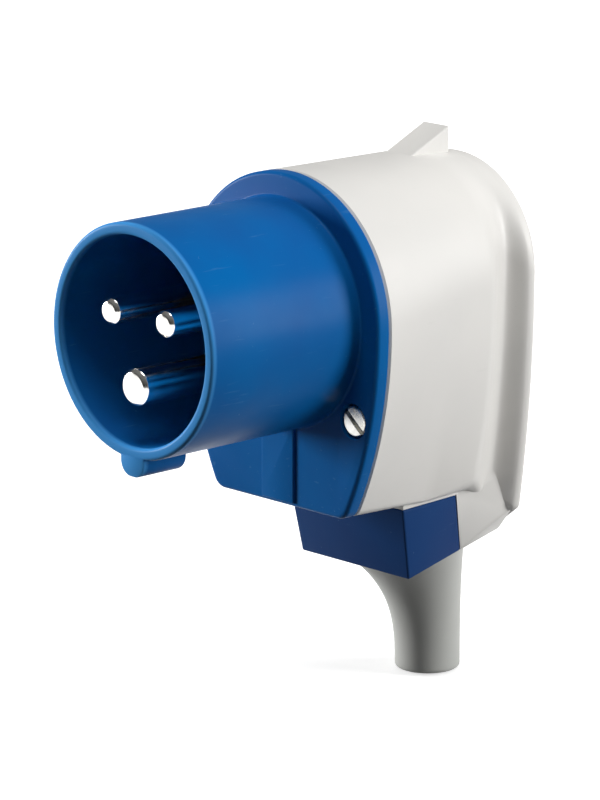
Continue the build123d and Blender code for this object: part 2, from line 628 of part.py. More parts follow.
def cable_clamp():
    """Front half of the neck: a block with a ribbed saddle for the cable and slots for the two nuts."""
    block = clamp_block() - Pos(0, 0, CLAMP_TOP + WHOLE / 2) * Box(WHOLE, WHOLE, WHOLE)
    front = block.edges().filter_by(Plane.XY, reverse=True).sort_by(Axis.Y)[:2]
    block = chamfer(front, CLAMP_EDGE)
    bored = block - cable_path() - clamp_screw_holes()
    for count in range(GRIP_RIBS):
        foot = SEAL_FOOT + SEAL_HEIGHT + (2 * count + 1) * GRIP_RIB_WIDTH
        rib = along_neck(CABLE_PASSAGE_RADIUS + SLIP, foot, foot + GRIP_RIB_WIDTH)
        rib -= along_neck(CABLE_PASSAGE_RADIUS - GRIP_RIB_HEIGHT, foot, foot + GRIP_RIB_WIDTH)
        bored += rib & block
    slot_height = CLAMP_TOP - CLAMP_SCREW_Z + NUT_WIDTH / 2 + SLIP
    slot = Box(NUT_WIDTH + SLIP, NUT_THICKNESS + SLIP, slot_height)
    for side in SIDES:
        bored -= Pos(side * CLAMP_SCREW_X, NUT_Y, CLAMP_TOP - slot_height / 2) * slot
    return bored


def clamp_nuts():
    """Square nuts in the clamp block's slots."""
    nut = Box(NUT_WIDTH, NUT_THICKNESS, NUT_WIDTH)
    nut -= rod(CLAMP_SCREW_RADIUS + THREAD_GAP, -NUT_THICKNESS, NUT_THICKNESS)
    return [Pos(side * CLAMP_SCREW_X, NUT_Y, CLAMP_SCREW_Z) * nut for side in SIDES]


def clamp_screws():
    """Screws from the rear of the neck into the clamp block's nuts."""
    screw = Rot(0, 0, 180) * slotted_screw(
        CLAMP_SCREW_RADIUS, CLAMP_SCREW_LENGTH, CLAMP_SCREW_HEAD_RADIUS, CLAMP_SCREW_HEAD_HEIGHT
    )
    return [Pos(side * CLAMP_SCREW_X, CLAMP_HEAD_SEAT, CLAMP_SCREW_Z) * screw for side in SIDES]


def sleeve_circle(share):
    """Level circle of the sleeve at a share of the way from its tip to its flare."""
    growth = share ** SLEEVE_FLARE_POWER
    radius = SLEEVE_TIP_RADIUS + (SLEEVE_FLARE_RADIUS - SLEEVE_TIP_RADIUS) * growth
    y = SLEEVE_TIP_Y + (SLEEVE_FLARE_Y - SLEEVE_TIP_Y) * growth
    return Pos(0, y, SLEEVE_TIP_Z + (NECK_Z - SLEEVE_TIP_Z) * share) * Circle(radius)


def cable_sleeve():
    """Flared sleeve with a bore for the cable and a lipped spigot that the neck holds."""
    horn = loft([sleeve_circle(step / SLEEVE_STEPS) for step in range(SLEEVE_STEPS + 2)])
    horn = fillet(horn.faces().sort_by(Axis.Z)[0].edges(), SLEEVE_TIP_ROUND)
    horn -= NECK_FRAME * Pos(0, 0, WHOLE / 2) * Box(WHOLE, WHOLE, WHOLE)
    horn += along_neck(SPIGOT_RADIUS, 0, SPIGOT_HEIGHT)
    horn += along_neck(LIP_RADIUS, SPIGOT_HEIGHT - LIP_HEIGHT, SPIGOT_HEIGHT)
    bore = Cylinder(SLEEVE_BORE_RADIUS, SLEEVE_BORE_LENGTH)
    bore = Pos(0, SLEEVE_TIP_Y, SLEEVE_TIP_Z + SLEEVE_BORE_LENGTH / 2) * bore
    throat = Pos(0, SLEEVE_TIP_Y, SLEEVE_TIP_Z + SLEEVE_BORE_LENGTH) * Circle(SLEEVE_BORE_RADIUS)
    funnel = loft([throat, NECK_FRAME * Circle(CABLE_PASSAGE_RADIUS)])
    return horn - bore - funnel - along_neck(CABLE_PASSAGE_RADIUS, 0, SPIGOT_HEIGHT)


def cable_seal():
    """Rubber ring round the cable, on top of the sleeve's spigot."""
    ring = along_neck(SPIGOT_RADIUS - CLOSE, SEAL_FOOT, SEAL_FOOT + SEAL_HEIGHT)
    return ring - along_neck(SEAL_BORE_RADIUS, SEAL_FOOT, SEAL_FOOT + SEAL_HEIGHT)


def housing_neck():
    """Rear half of the cable neck, from the sleeve up into the housing's floor."""
    top = (HOUSING_FOOT + HOUSING_WALL - NECK_Z) / math.cos(LEAN)
    front = CLAMP_REAR_HALF_WIDTH + CLAMP_DRAFT * top / CLAMP_HEIGHT
    return loft([
        neck_section(0, 0, NECK_REAR, CLAMP_REAR_HALF_WIDTH, NECK_HALF_WIDTH, NECK_CORNER),
        neck_section(top, 0, NECK_REAR, front, NECK_TOP_HALF_WIDTH, WAIST_CORNER),
    ])


def neck_web():
    """Flare that carries the neck's sides back to the foot of the rear rim."""
    split = Plane(origin=NECK_FRAME.origin, x_dir=(1, 0, 0), z_dir=(0, -math.cos(LEAN), -math.sin(LEAN)))
    rear_foot = NECK_Z + (RIM_Y - NECK_Y) * math.tan(LEAN)
    top = (HOUSING_FOOT + HOUSING_WALL / 2 - NECK_Z) / math.cos(LEAN)
    front = [(CLAMP_REAR_HALF_WIDTH + CLAMP_DRAFT * up / CLAMP_HEIGHT, up) for up in (0, WEB_EDGE, top)]
    rear = [
        (CHIN[0], rear_foot),
        (RIM_FOOT_HALF_WIDTH - WEB_INSET, RIM_FOOT + WEB_INSET),
        (WAIST_FOOT_HALF_WIDTH + WEB_INSET, RIM_FOOT + WEB_HEIGHT),
    ]
    faces = []
    for plane, half in ((split, front), (upright(RIM_Y), rear)):
        mirrored = [(-x, height) for x, height in reversed(half)]
        faces.append(plane * make_face(Polyline(*half, *mirrored, close=True)))
    return loft(faces, ruled=True)


def lid_wedge():
    """Ramp on the housing's crown, its root inside the housing's wall."""
    root = GRIP_TOP - HOUSING_WALL / 2
    rear = RIM_Y - WEDGE_FROM_RIM
    front = rear - WEDGE_LENGTH
    profile = Polyline(
        (front, root),
        (front, GRIP_TOP - WEDGE_FRONT_DROP),
        (rear, GRIP_TOP + WEDGE_HEIGHT),
        (rear, root),
        close=True,
    )
    wedge = extrude(Plane.YZ * make_face(profile), amount=WEDGE_HALF_WIDTH, both=True)
    ridge = wedge.edges().filter_by(Axis.X).sort_by(Axis.Z)[-1:]
    return fillet(ridge + wedge.edges().filter_by(Axis.Z).sort_by(Axis.Y)[-2:], WEDGE_ROUND)


def rear_housing():
    """Grip shell with its rim, lid wedge, cover bosses and the rear half of the cable neck."""
    form = housing_form()
    shell = form + housing_neck() + neck_web() + clamp_seat() + lid_wedge()
    shell = shell - spigot_seat() - wiring_space() - joint_bevel()
    for side in SIDES:
        x = side * COVER_SCREW_X
        shell += rod(BOSS_RADIUS, FLANGE_BACK, FLANGE_BACK + BOSS_LENGTH, x, COVER_SCREW_Z) & form
    screw_hole_end = FLANGE_BACK + BOSS_LENGTH - BOSS_WALL
    for side in SIDES:
        x = side * COVER_SCREW_X
        shell -= rod(INSERT_RADIUS + THREAD_GAP, FLANGE_BACK - PAST, INSERT_END, x, COVER_SCREW_Z)
        shell -= rod(COVER_SCREW_RADIUS + SLIP, FLANGE_BACK, screw_hole_end, x, COVER_SCREW_Z)
    groove = deepen(flange_section(FLANGE_BACK - PAST, GASKET_INSET - CLOSE), GASKET_HEIGHT + PAST)
    inner = GASKET_INSET + GASKET_WIDTH + CLOSE
    groove -= deepen(flange_section(FLANGE_BACK - PAST, inner), GASKET_HEIGHT + PAST)
    return shell - groove - cable_path() - clamp_screw_holes()


NODES = {
    "front_cover": front_cover,
    "contact_carrier": contact_carrier,
    "terminal_screws": terminal_screws,
    "pin_retainer": pin_retainer,
    "retainer_screw": retainer_screw,
    "carrier_screws": carrier_screws,
    "cover_screws": cover_screws,
    "cover_inserts": cover_inserts,
    "cover_gasket": cover_gasket,
    "rear_housing": rear_housing,
    "cable_clamp": cable_clamp,
    "clamp_screws": clamp_screws,
    "clamp_nuts": clamp_nuts,
    "cable_sleeve": cable_sleeve,
    "cable_seal": cable_seal,
}

os.makedirs("parts", exist_ok=True)
for name, build in NODES.items():
    built = build()
    solid = Compound(built) if isinstance(built, list) else built
    export_step(solid, f"parts/{name}.step")
for name, pin in PINS.items():
    export_step(contact_pin(pin), f"parts/{name}.step")
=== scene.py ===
import logging
import math
from dataclasses import astuple, dataclass, field, replace
from enum import Enum
from typing import Iterable, Sequence

import bmesh
import bpy
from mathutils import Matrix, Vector


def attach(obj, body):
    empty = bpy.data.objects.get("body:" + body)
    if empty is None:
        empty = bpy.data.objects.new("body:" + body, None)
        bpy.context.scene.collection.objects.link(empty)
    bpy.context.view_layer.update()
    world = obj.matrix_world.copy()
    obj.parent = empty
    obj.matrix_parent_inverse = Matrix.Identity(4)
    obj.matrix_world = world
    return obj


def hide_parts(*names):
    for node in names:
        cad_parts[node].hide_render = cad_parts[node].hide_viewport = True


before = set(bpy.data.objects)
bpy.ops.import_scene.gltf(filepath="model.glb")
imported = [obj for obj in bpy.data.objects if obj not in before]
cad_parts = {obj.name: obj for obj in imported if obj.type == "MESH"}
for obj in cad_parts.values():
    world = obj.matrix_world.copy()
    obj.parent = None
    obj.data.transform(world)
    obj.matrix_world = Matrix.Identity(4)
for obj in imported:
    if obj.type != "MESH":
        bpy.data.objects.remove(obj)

log = logging.getLogger("right_angle_plug")

Point = tuple[float, float, float]
Flat = tuple[float, float]
Socket = bpy.types.NodeSocket
Piece = bpy.types.Object

MM = 0.001
# Millimetres within which a hoop's two ends are one ring, and within which a cut leaves slivers
SEAM = 0.0001
SLIVER = 0.002
# Millimetres that a cutter runs on past the surface it opens
PAST = 1.0
# Points round a pin or the neck, a screw's head or boss, an ear behind the flange, and a hole
PIN_POINTS = 96
HEAD_POINTS = 72
EAR_POINTS = 64
HOLE_POINTS = 48


class Pattern(Enum):
    """Fine relief of a metal: how closely its lines lie along X, Y and Z."""

    TURNED = (60.0, 2600.0, 60.0)
    BRUSHED = (2400.0, 300.0, 120.0)


class Side(Enum):
    """The two sides of the plug, seen from its mouth."""

    LEFT = -1
    RIGHT = 1

    def of(self, place: Flat) -> Flat:
        """A place on the right side, carried over to this side."""
        return self.value * place[0], place[1]


# Modelling helpers


def deselect() -> None:
    """Leave object mode's selection empty, so that an operator acts on the new piece alone."""
    if bpy.context.object and bpy.context.object.mode != "OBJECT":
        bpy.ops.object.mode_set(mode="OBJECT")
    bpy.ops.object.select_all(action="DESELECT")


def choose(*objs: Piece) -> None:
    """Select some objects alone and make the first one active.

    Args:
        objs: the objects to select.
    """
    deselect()
    for obj in objs:
        obj.select_set(True)
    bpy.context.view_layer.objects.active = objs[0]


def metres(points: Iterable[Point]) -> list[Vector]:
    """Points given in millimetres, as vectors in metres."""
    return [Vector(p) * MM for p in points]


def rings_to_skin(name: str, rings: Sequence[Sequence[Point]], open_ends: bool = False) -> Piece:
    """Extrude a circle from ring to ring and lay each ring's vertices on its points.

    Args:
        name: the piece's name.
        rings: rings of as many points each, in millimetres.
        open_ends: leave the first and last ring without a cap, and merge them where they meet.

    Returns:
        The skin, with its normals outwards.
    """
    deselect()
    count = len(rings[0])
    bpy.ops.mesh.primitive_circle_add(vertices=count, radius=MM)
    obj = bpy.context.object
    obj.name = name
    bpy.ops.object.mode_set(mode="EDIT")
    mesh = bmesh.from_edit_mesh(obj.data)
    mesh.verts.ensure_lookup_table()
    for vertex, place in zip(mesh.verts, metres(rings[0])):
        vertex.co = place
    bmesh.update_edit_mesh(obj.data)
    bpy.ops.mesh.select_all(action="SELECT")
    last = list(range(count))
    for ring in rings[1:]:
        bpy.ops.mesh.extrude_region_move()
        mesh = bmesh.from_edit_mesh(obj.data)
        mesh.verts.ensure_lookup_table()
        fresh = []
        for index, place in zip(last, metres(ring)):
            old = mesh.verts[index]
            new = next(e.other_vert(old) for e in old.link_edges if e.other_vert(old).select)
            new.co = place
            fresh.append(new.index)
        last = fresh
        bmesh.update_edit_mesh(obj.data)
    if not open_ends:
        bpy.ops.mesh.edge_face_add()
        mesh = bmesh.from_edit_mesh(obj.data)
        mesh.verts.ensure_lookup_table()
        bpy.ops.mesh.select_all(action="DESELECT")
        for index in range(count):
            mesh.verts[index].select = True
        mesh.select_flush_mode()
        bpy.ops.mesh.edge_face_add()
    bpy.ops.mesh.select_all(action="SELECT")
    if open_ends:
        bpy.ops.mesh.remove_doubles(threshold=SEAM * MM)
    bpy.ops.mesh.normals_make_consistent(inside=False)
    bpy.ops.object.mode_set(mode="OBJECT")
    return obj


def hoop(name: str, rings: Sequence[Sequence[Point]]) -> Piece:
    """A skin whose last ring runs back into its first one."""
    return rings_to_skin(name, [*rings, rings[0]], open_ends=True)


def block(name: str, corners: Sequence[Point], edge: float, segments: int = 4) -> Piece:
    """A cube whose eight corners are moved into place, with all its edges bevelled.

    Args:
        name: the piece's name.
        corners: four lower corners in turn, then the four above them, in millimetres.
        edge: the bevel's width in millimetres.
        segments: the bevel's segments.

    Returns:
        The bevelled block.
    """
    deselect()
    bpy.ops.mesh.primitive_cube_add(size=2.0)
    obj = bpy.context.object
    obj.name = name
    turn = [(-1, -1), (1, -1), (1, 1), (-1, 1)]
    signs = [(*corner, level) for level in (-1, 1) for corner in turn]
    places = dict(zip(signs, metres(corners)))
    bpy.ops.object.mode_set(mode="EDIT")
    mesh = bmesh.from_edit_mesh(obj.data)
    for vertex in mesh.verts:
        vertex.co = places[tuple(round(c) for c in vertex.co)]
    bmesh.update_edit_mesh(obj.data)
    bpy.ops.mesh.select_all(action="SELECT")
    bpy.ops.mesh.normals_make_consistent(inside=False)
    bpy.ops.mesh.bevel(offset=edge * MM, segments=segments, affect="EDGES")
    bpy.ops.object.mode_set(mode="OBJECT")
    return obj


def plan(half: float, front: float, back: float, level: float, x: float = 0.0) -> list[Point]:
    """The four corners of a flat rectangle, in turn."""
    left, right = x - half, x + half
    return [(left, front, level), (right, front, level), (right, back, level), (left, back, level)]


def cut(obj: Piece, cutter: Piece, union: bool = False) -> None:
    """Take a cutter out of a piece, or melt it into the piece, and delete the cutter.

    Args:
        obj: the piece.
        cutter: the shape to take out or to add.
        union: add the shape instead of taking it out.
    """
    choose(obj)
    bpy.ops.object.modifier_add(type="BOOLEAN")
    modifier = obj.modifiers[-1]
    modifier.operation = "UNION" if union else "DIFFERENCE"
    modifier.solver = "EXACT"
    modifier.object = cutter
    bpy.ops.object.modifier_apply(modifier=modifier.name)
    bpy.ops.object.mode_set(mode="EDIT")
    bpy.ops.mesh.select_all(action="SELECT")
    bpy.ops.mesh.remove_doubles(threshold=SLIVER * MM)
    bpy.ops.mesh.dissolve_degenerate(threshold=SLIVER * MM)
    bpy.ops.object.mode_set(mode="OBJECT")
    choose(cutter)
    bpy.ops.object.delete()


def soften(obj: Piece, width: float, angle: float = 35.0, segments: int = 2) -> None:
    """Bevel a piece's sharp edges.

    Args:
        obj: the piece.
        width: the bevel's width in millimetres.
        angle: edges sharper than this many degrees are bevelled.
        segments: the bevel's segments.
    """
    choose(obj)
    bpy.ops.object.modifier_add(type="BEVEL")
    modifier = obj.modifiers[-1]
    modifier.width = width * MM
    modifier.segments = segments
    modifier.limit_method = "ANGLE"
    modifier.angle_limit = math.radians(angle)
    modifier.use_clamp_overlap = True
    bpy.ops.object.modifier_apply(modifier=modifier.name)


def join(name: str, *objs: Piece) -> Piece:
    """Join pieces of one kind into one object.

    Args:
        name: the object's name.
        objs: the pieces.

    Returns:
        The joined object.
    """
    choose(*objs)
    bpy.ops.object.join()
    obj = bpy.context.object
    obj.name = name
    return obj


def smooth(obj: Piece, angle: float = 32.0) -> None:
    """Shade a piece smooth except across its sharp edges."""
    choose(obj)
    bpy.ops.object.shade_smooth_by_angle(angle=math.radians(angle))


def circle(radius: float, count: int) -> list[Flat]:
    """Points round a circle."""
    step = math.tau / count
    return [(radius * math.cos(i * step), radius * math.sin(i * step)) for i in range(count)]


def arc(centre: Flat, radius: float, start: float, end: float, steps: int) -> list[Flat]:
    """Points along an arc, its first point included and its last left out."""
    turns = [start + (end - start) * i / steps for i in range(steps)]
    return [(centre[0] + radius * math.cos(t), centre[1] + radius * math.sin(t)) for t in turns]


def quarter(steps: int) -> list[float]:
    """Angles through a quarter turn, both ends included."""
    return [math.pi / 2 * i / steps for i in range(steps + 1)]


def lathe(name: str, profile: Sequence[Flat], place: Flat, count: int) -> Piece:
    """A turned skin about an axis along Y.

    Args:
        name: the piece's name.
        profile: pairs of radius and depth in millimetres.
        place: the axis's X and Z.
        count: points round each ring.

    Returns:
        The skin, capped at both ends.
    """
    x, z = place
    rings = [[(x + a, y, z + b) for a, b in circle(radius, count)] for radius, y in profile]
    return rings_to_skin(name, rings)


def rod(
    radius: float, start: float, end: float, place: Flat, count: int = HOLE_POINTS
) -> Piece:
    """A plain round bar along Y, to cut a hole with or to add as a boss."""
    return lathe("rod", [(radius, start), (radius, end)], place, count)


# Finishes


@dataclass(frozen=True)
class Grain:
    """Cloudy noise: clouds to the metre, octaves of finer noise, and the range of it that shows."""

    scale: float
    detail: float
    low: float = 0.3
    high: float = 0.7


MOTTLE = Grain(38.0, 4.0, low=0.35)
DUST = Grain(1500.0, 2.0, 0.74, 0.79)
SCRATCHES = Grain(90.0, 6.0, 0.66, 0.74)
SCRATCH_WAY = (9.0, 1.0, 14.0)
HANDLING = Grain(120.0, 5.0)
SKIN = Grain(2600.0, 2.0)
WAVES = Grain(85.0, 1.0)
STAINS = Grain(260.0, 5.0, 0.45, 0.72)
POLISH = Grain(700.0, 4.0)
LINES = Grain(1.0, 2.0)
BLOOM = Grain(180.0, 6.0, 0.4, 0.75)
RUBBER_WEAR = Grain(300.0, 3.0)
RUBBER_SKIN = Grain(1800.0, 3.0)
FLOOR_CLOUDS = Grain(3.0, 2.0)


class Nodes:
    """A material's node tree with short calls for what the finishes use."""

    def __init__(self, name: str) -> None:
        """Start an empty principled material.

        Args:
            name: the material's name.
        """
        self.material = bpy.data.materials.new(name)
        self.material.use_nodes = True
        self.tree = self.material.node_tree
        self.shader = self.tree.nodes["Principled BSDF"]
        coordinates = self.tree.nodes.new("ShaderNodeTexCoord")
        self.place = coordinates.outputs["Object"]

    def link(self, source: Socket, target: Socket) -> None:
        """Join two sockets."""
        self.tree.links.new(source, target)

    def feed(self, source: Socket, name: str) -> None:
        """Join a socket to an input of the shader."""
        self.link(source, self.shader.inputs[name])

    def fix(self, name: str, value: float | tuple[float, ...]) -> None:
        """Set an input of the shader that is the same all over."""
        self.shader.inputs[name].default_value = value

    def stretched(self, scale: Point) -> Socket:
        """Object coordinates scaled along each axis.

        Args:
            scale: the factor along X, Y and Z.

        Returns:
            The scaled coordinates.
        """
        mapping = self.tree.nodes.new("ShaderNodeMapping")
        mapping.inputs["Scale"].default_value = scale
        self.link(self.place, mapping.inputs["Vector"])
        return mapping.outputs["Vector"]

    def depth(self) -> Socket:
        """Distance behind the mouth's plane, in metres.

        Returns:
            The distance's value.
        """
        node = self.tree.nodes.new("ShaderNodeSeparateXYZ")
        self.link(self.place, node.inputs["Vector"])
        return node.outputs["Y"]

    def noise(self, grain: Grain, place: Socket | None = None) -> Socket:
        """Cloudy noise.

        Args:
            grain: its fineness.
            place: coordinates other than the plain ones.

        Returns:
            The noise's value.
        """
        node = self.tree.nodes.new("ShaderNodeTexNoise")
        node.inputs["Scale"].default_value = grain.scale
        node.inputs["Detail"].default_value = grain.detail
        self.link(place or self.place, node.inputs["Vector"])
        return node.outputs["Fac"]

    def ramp(self, value: Socket, source: Flat, target: Flat) -> Socket:
        """Map a value from one range to another, clamped.

        Args:
            value: the value to map.
            source: the range it comes from.
            target: the range it is mapped to.

        Returns:
            The mapped value.
        """
        node = self.tree.nodes.new("ShaderNodeMapRange")
        set_range(node, source, target)
        self.link(value, node.inputs["Value"])
        return node.outputs["Result"]

    def clouds(self, grain: Grain, target: Flat, place: Socket | None = None) -> Socket:
        """Noise whose visible range is mapped to another range."""
        return self.ramp(self.noise(grain, place), (grain.low, grain.high), target)

    def mix(self, share: Socket, first: Point | Socket, second: Point) -> Socket:
        """Blend two colours.

        Args:
            share: how much of the second colour shows.
            first: the first colour, or a socket that gives it.
            second: the second colour.

        Returns:
            The blended colour.
        """
        node = self.tree.nodes.new("ShaderNodeMix")
        node.data_type = "RGBA"
        self.link(share, node.inputs["Factor"])
        if isinstance(first, Socket):
            self.link(first, node.inputs["A"])
        else:
            node.inputs["A"].default_value = (*first, 1.0)
        node.inputs["B"].default_value = (*second, 1.0)
        return node.outputs["Result"]

    def relief(
        self, height: Socket, depth: float, strength: float, below: Socket | None = None
    ) -> Socket:
        """Bump from a height.

        Args:
            height: the height's value.
            depth: its depth in millimetres.
            strength: its strength.
            below: a normal that this relief lies on.

        Returns:
            The bumped normal.
        """
        node = self.tree.nodes.new("ShaderNodeBump")
        node.inputs["Strength"].default_value = strength
        node.inputs["Distance"].default_value = depth * MM
        self.link(height, node.inputs["Height"])
        if below:
            self.link(below, node.inputs["Normal"])
        return node.outputs["Normal"]


def set_range(node: bpy.types.Node, source: Flat, target: Flat) -> None:
    """Set the four numbers of a node that maps one range to another."""
    for name, number in zip(("From Min", "From Max", "To Min", "To Max"), (*source, *target)):
        node.inputs[name].default_value = number


@dataclass(frozen=True)
class Plastic:
    """Moulded plastic: mottled colour, pale scuffs and specks, a faint skin texture, and an
    optional painted highlight at the mouth.
    """

    name: str
    colour: Point
    shade: Point
    scuff: Point
    roughness: Flat
    skin: float
    specks: float
    index: float = 1.5
    # Painted highlight: a paler cyan band just behind the mouth's plane stands in for the brighter
    # lit rim; its colour, the depths it fades over, and its strength
    mouth_highlight: Point | None = None
    mouth_highlight_depths: Flat = (0.4, 1.3)
    mouth_highlight_share: float = 0.9
    skin_depth: float = 0.02
    wave_depth: float = 0.12
    wave_strength: float = 0.10

    def material(self) -> bpy.types.Material:
        """Build the material.

        Returns:
            The material.
        """
        nodes = Nodes(self.name)
        colour = nodes.mix(nodes.clouds(MOTTLE, (0.0, 1.0)), self.colour, self.shade)
        colour = nodes.mix(nodes.clouds(DUST, (0.0, self.specks)), colour, self.scuff)
        scratches = nodes.clouds(SCRATCHES, (0.0, self.specks / 2), nodes.stretched(SCRATCH_WAY))
        colour = nodes.mix(scratches, colour, self.scuff)
        # Painted highlight: lighter cyan blended in over the first 1.3 mm behind the mouth, in
        # place of the rim's lit face
        if self.mouth_highlight:
            start, end = self.mouth_highlight_depths
            painted_highlight = nodes.ramp(nodes.depth(), (start * MM, end * MM), (self.mouth_highlight_share, 0.0))
            colour = nodes.mix(painted_highlight, colour, self.mouth_highlight)
        nodes.feed(colour, "Base Color")
        nodes.feed(nodes.clouds(HANDLING, self.roughness), "Roughness")
        skin = nodes.relief(nodes.noise(SKIN), self.skin_depth, self.skin)
        waves = nodes.relief(nodes.noise(WAVES), self.wave_depth, self.wave_strength, below=skin)
        nodes.feed(waves, "Normal")
        nodes.fix("IOR", self.index)
        return nodes.material


@dataclass(frozen=True)
class Metal:
    """Plated or plain metal with turning rings or brushing, tarnish and fine scratches."""

    name: str
    colour: Point
    tarnish: Point
    roughness: Flat
    pattern: Pattern
    stain: float = 0.8
    line_depth: float = 0.015
    line_strength: float = 0.25

    def material(self) -> bpy.types.Material:
        """Build the material.

        Returns:
            The material.
        """
        nodes = Nodes(self.name)
        stains = nodes.clouds(STAINS, (0.0, self.stain))
        nodes.feed(nodes.mix(stains, self.colour, self.tarnish), "Base Color")
        nodes.feed(nodes.clouds(POLISH, self.roughness), "Roughness")
        lines = nodes.noise(LINES, nodes.stretched(self.pattern.value))
        nodes.feed(nodes.relief(lines, self.line_depth, self.line_strength), "Normal")
        nodes.fix("Metallic", 1.0)
        return nodes.material


@dataclass(frozen=True)
class Rubber:
    """Moulded rubber with a dusty bloom."""

    name: str
    colour: Point
    bloom: Point
    bloom_share: float = 0.6
    roughness: Flat = (0.6, 0.8)
    skin_depth: float = 0.03
    skin: float = 0.3

    def material(self) -> bpy.types.Material:
        """Build the material.

        Returns:
            The material.
        """
        nodes = Nodes(self.name)
        dust = nodes.clouds(BLOOM, (0.0, self.bloom_share))
        nodes.feed(nodes.mix(dust, self.colour, self.bloom), "Base Color")
        nodes.feed(nodes.clouds(RUBBER_WEAR, self.roughness), "Roughness")
        nodes.feed(nodes.relief(nodes.noise(RUBBER_SKIN), self.skin_depth, self.skin), "Normal")
        return nodes.material


class Finishes:
    """Every finish of the plug, made once, by the record's slot names."""

    def __init__(self) -> None:
        """Make the materials."""
        made = {
            "cover": Plastic(
                "blue_gloss", (0.001, 0.130, 0.405), (0.006, 0.098, 0.335), (0.16, 0.36, 0.60),
                roughness=(0.28, 0.38), skin=0.10, specks=0.30, index=1.12,
                # Paler cyan at the mouth: a painted highlight of the lit rim
                mouth_highlight=(0.060, 0.320, 0.740),
            ),
            # Painted shade: a darker copy of the cover's blue, standing in for the shade on the
            # downward-facing clamp block
            "clamp": Plastic(
                "shaded_blue_satin", (0.008, 0.046, 0.165), (0.011, 0.038, 0.140), (0.10, 0.16, 0.30),
                roughness=(0.36, 0.48), skin=0.20, specks=0.30, index=1.12,
            ),
            "housing": Plastic(
                "pale_grey_satin", (0.735, 0.720, 0.690), (0.700, 0.690, 0.665), (0.60, 0.60, 0.57),
                roughness=(0.40, 0.52), skin=0.16, specks=0.25,
            ),
            "sleeve": Plastic(
                "grey_flexible", (0.490, 0.496, 0.470), (0.455, 0.465, 0.442), (0.60, 0.60, 0.57),
                roughness=(0.46, 0.58), skin=0.22, specks=0.25,
            ),
            "carrier": Plastic(
                "black_moulding", (0.010, 0.010, 0.013), (0.014, 0.014, 0.017), (0.05, 0.05, 0.06),
                roughness=(0.42, 0.58), skin=0.30, specks=0.25,
            ),
            "retainer": Plastic(
                "black_plate", (0.013, 0.013, 0.015), (0.018, 0.018, 0.020), (0.06, 0.06, 0.06),
                roughness=(0.45, 0.60), skin=0.30, specks=0.25,
            ),
            "pin": Metal(
                "nickel_plate", (0.86, 0.85, 0.82), (0.74, 0.71, 0.65), (0.10, 0.20), Pattern.TURNED
            ),
            "screw": Metal(
                "zinc_plate", (0.70, 0.70, 0.67), (0.52, 0.50, 0.45), (0.22, 0.38), Pattern.BRUSHED
            ),
            "insert": Metal(
                "turned_brass", (0.78, 0.58, 0.26), (0.56, 0.40, 0.17), (0.20, 0.34), Pattern.TURNED
            ),
            "gasket": Rubber("gasket_rubber", (0.018, 0.018, 0.018), (0.055, 0.054, 0.050)),
            "seal": Rubber("seal_rubber", (0.022, 0.022, 0.022), (0.060, 0.058, 0.054)),
        }
        self.materials = {slot: finish.material() for slot, finish in made.items()}

    def dress(self, obj: Piece, slot: str) -> None:
        """Give a piece the finish of a slot."""
        obj.data.materials.clear()
        obj.data.materials.append(self.materials[slot])


def settle(obj: Piece, finishes: Finishes, slot: str, *nodes: str) -> None:
    """Dress a finished piece and let it stand for its solids.

    Args:
        obj: the piece.
        finishes: the finishes.
        slot: the record's slot name.
        nodes: the solids it stands for.
    """
    smooth(obj)
    finishes.dress(obj, slot)
    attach(obj, "root")
    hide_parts(*nodes)
    log.info("%s: %d faces", obj.name, len(obj.data.polygons))


# Sections and places that several pieces share


@dataclass
class Arch:
    """A round-topped section: half circle, two long side arcs, round corners and a flat foot."""

    half_width: float
    top: float
    foot: float
    foot_half_width: float
    corner: float

    def outline(self, inset: float = 0.0, steps: int = 48, least_corner: float = 0.6) -> list[Flat]:
        """The section's outline, drawn in by an inset.

        Args:
            inset: how far it is drawn in, in millimetres.
            steps: points along each side's arc.
            least_corner: the smallest radius of a foot corner.

        Returns:
            Points as pairs of X and Z, from the right end of the crown round by the top.
        """
        half, foot_half = self.half_width - inset, self.foot_half_width - inset
        foot = self.foot + inset
        corner = max(self.corner - inset, least_corner)
        centre = self.top - inset - half
        drop, lean = centre - foot, half - foot_half
        reach = (lean * lean + drop * drop) / (2 * lean)
        middle = half - reach
        corner_z = foot + corner
        corner_x = middle + math.sqrt((reach - corner) ** 2 - (corner_z - centre) ** 2)
        meet = math.atan2(corner_z - centre, corner_x - middle)
        down, few = 1.5 * math.pi, steps // 4
        crown = arc((0, centre), half, 0.0, math.pi, 2 * steps)
        left = arc((-middle, centre), reach, math.pi, math.pi - meet, steps)
        left_corner = arc((-corner_x, corner_z), corner, math.pi - meet, down, few)
        base = [(corner_x * (2 * i / steps - 1), foot) for i in range(steps)]
        right_corner = arc((corner_x, corner_z), corner, down, math.tau + meet, few)
        right = arc((middle, centre), reach, meet, 0.0, steps)
        return crown + left + left_corner + base + right_corner + right

    def ring(self, y: float, inset: float = 0.0) -> list[Point]:
        """The outline at a depth."""
        return [(x, y, z) for x, z in self.outline(inset)]

    def towards(self, other: "Arch", share: float) -> "Arch":
        """A section part of the way to another."""
        return Arch(*[a + (b - a) * share for a, b in zip(astuple(self), astuple(other))])


FLANGE = Arch(26.25, 26.25, -36.5, 17.4, 3.0)
FLANGE_FRONT = 36.4
FLANGE_BACK = 39.5
COVER_SCREW = (19.734, -17.294)
COVER_SCREW_SEAT = 38.3
CLAMP_SCREW = (10.3, -40.6)
CLAMP_SCREW_HOLE = 1.45
CLAMP_TOP = -38.0
CLAMP_DEPTH = 15.2
CLAMP_HEIGHT = 14.4
CLAMP_DRAFT = 1.0
CLAMP_HALF = 13.4


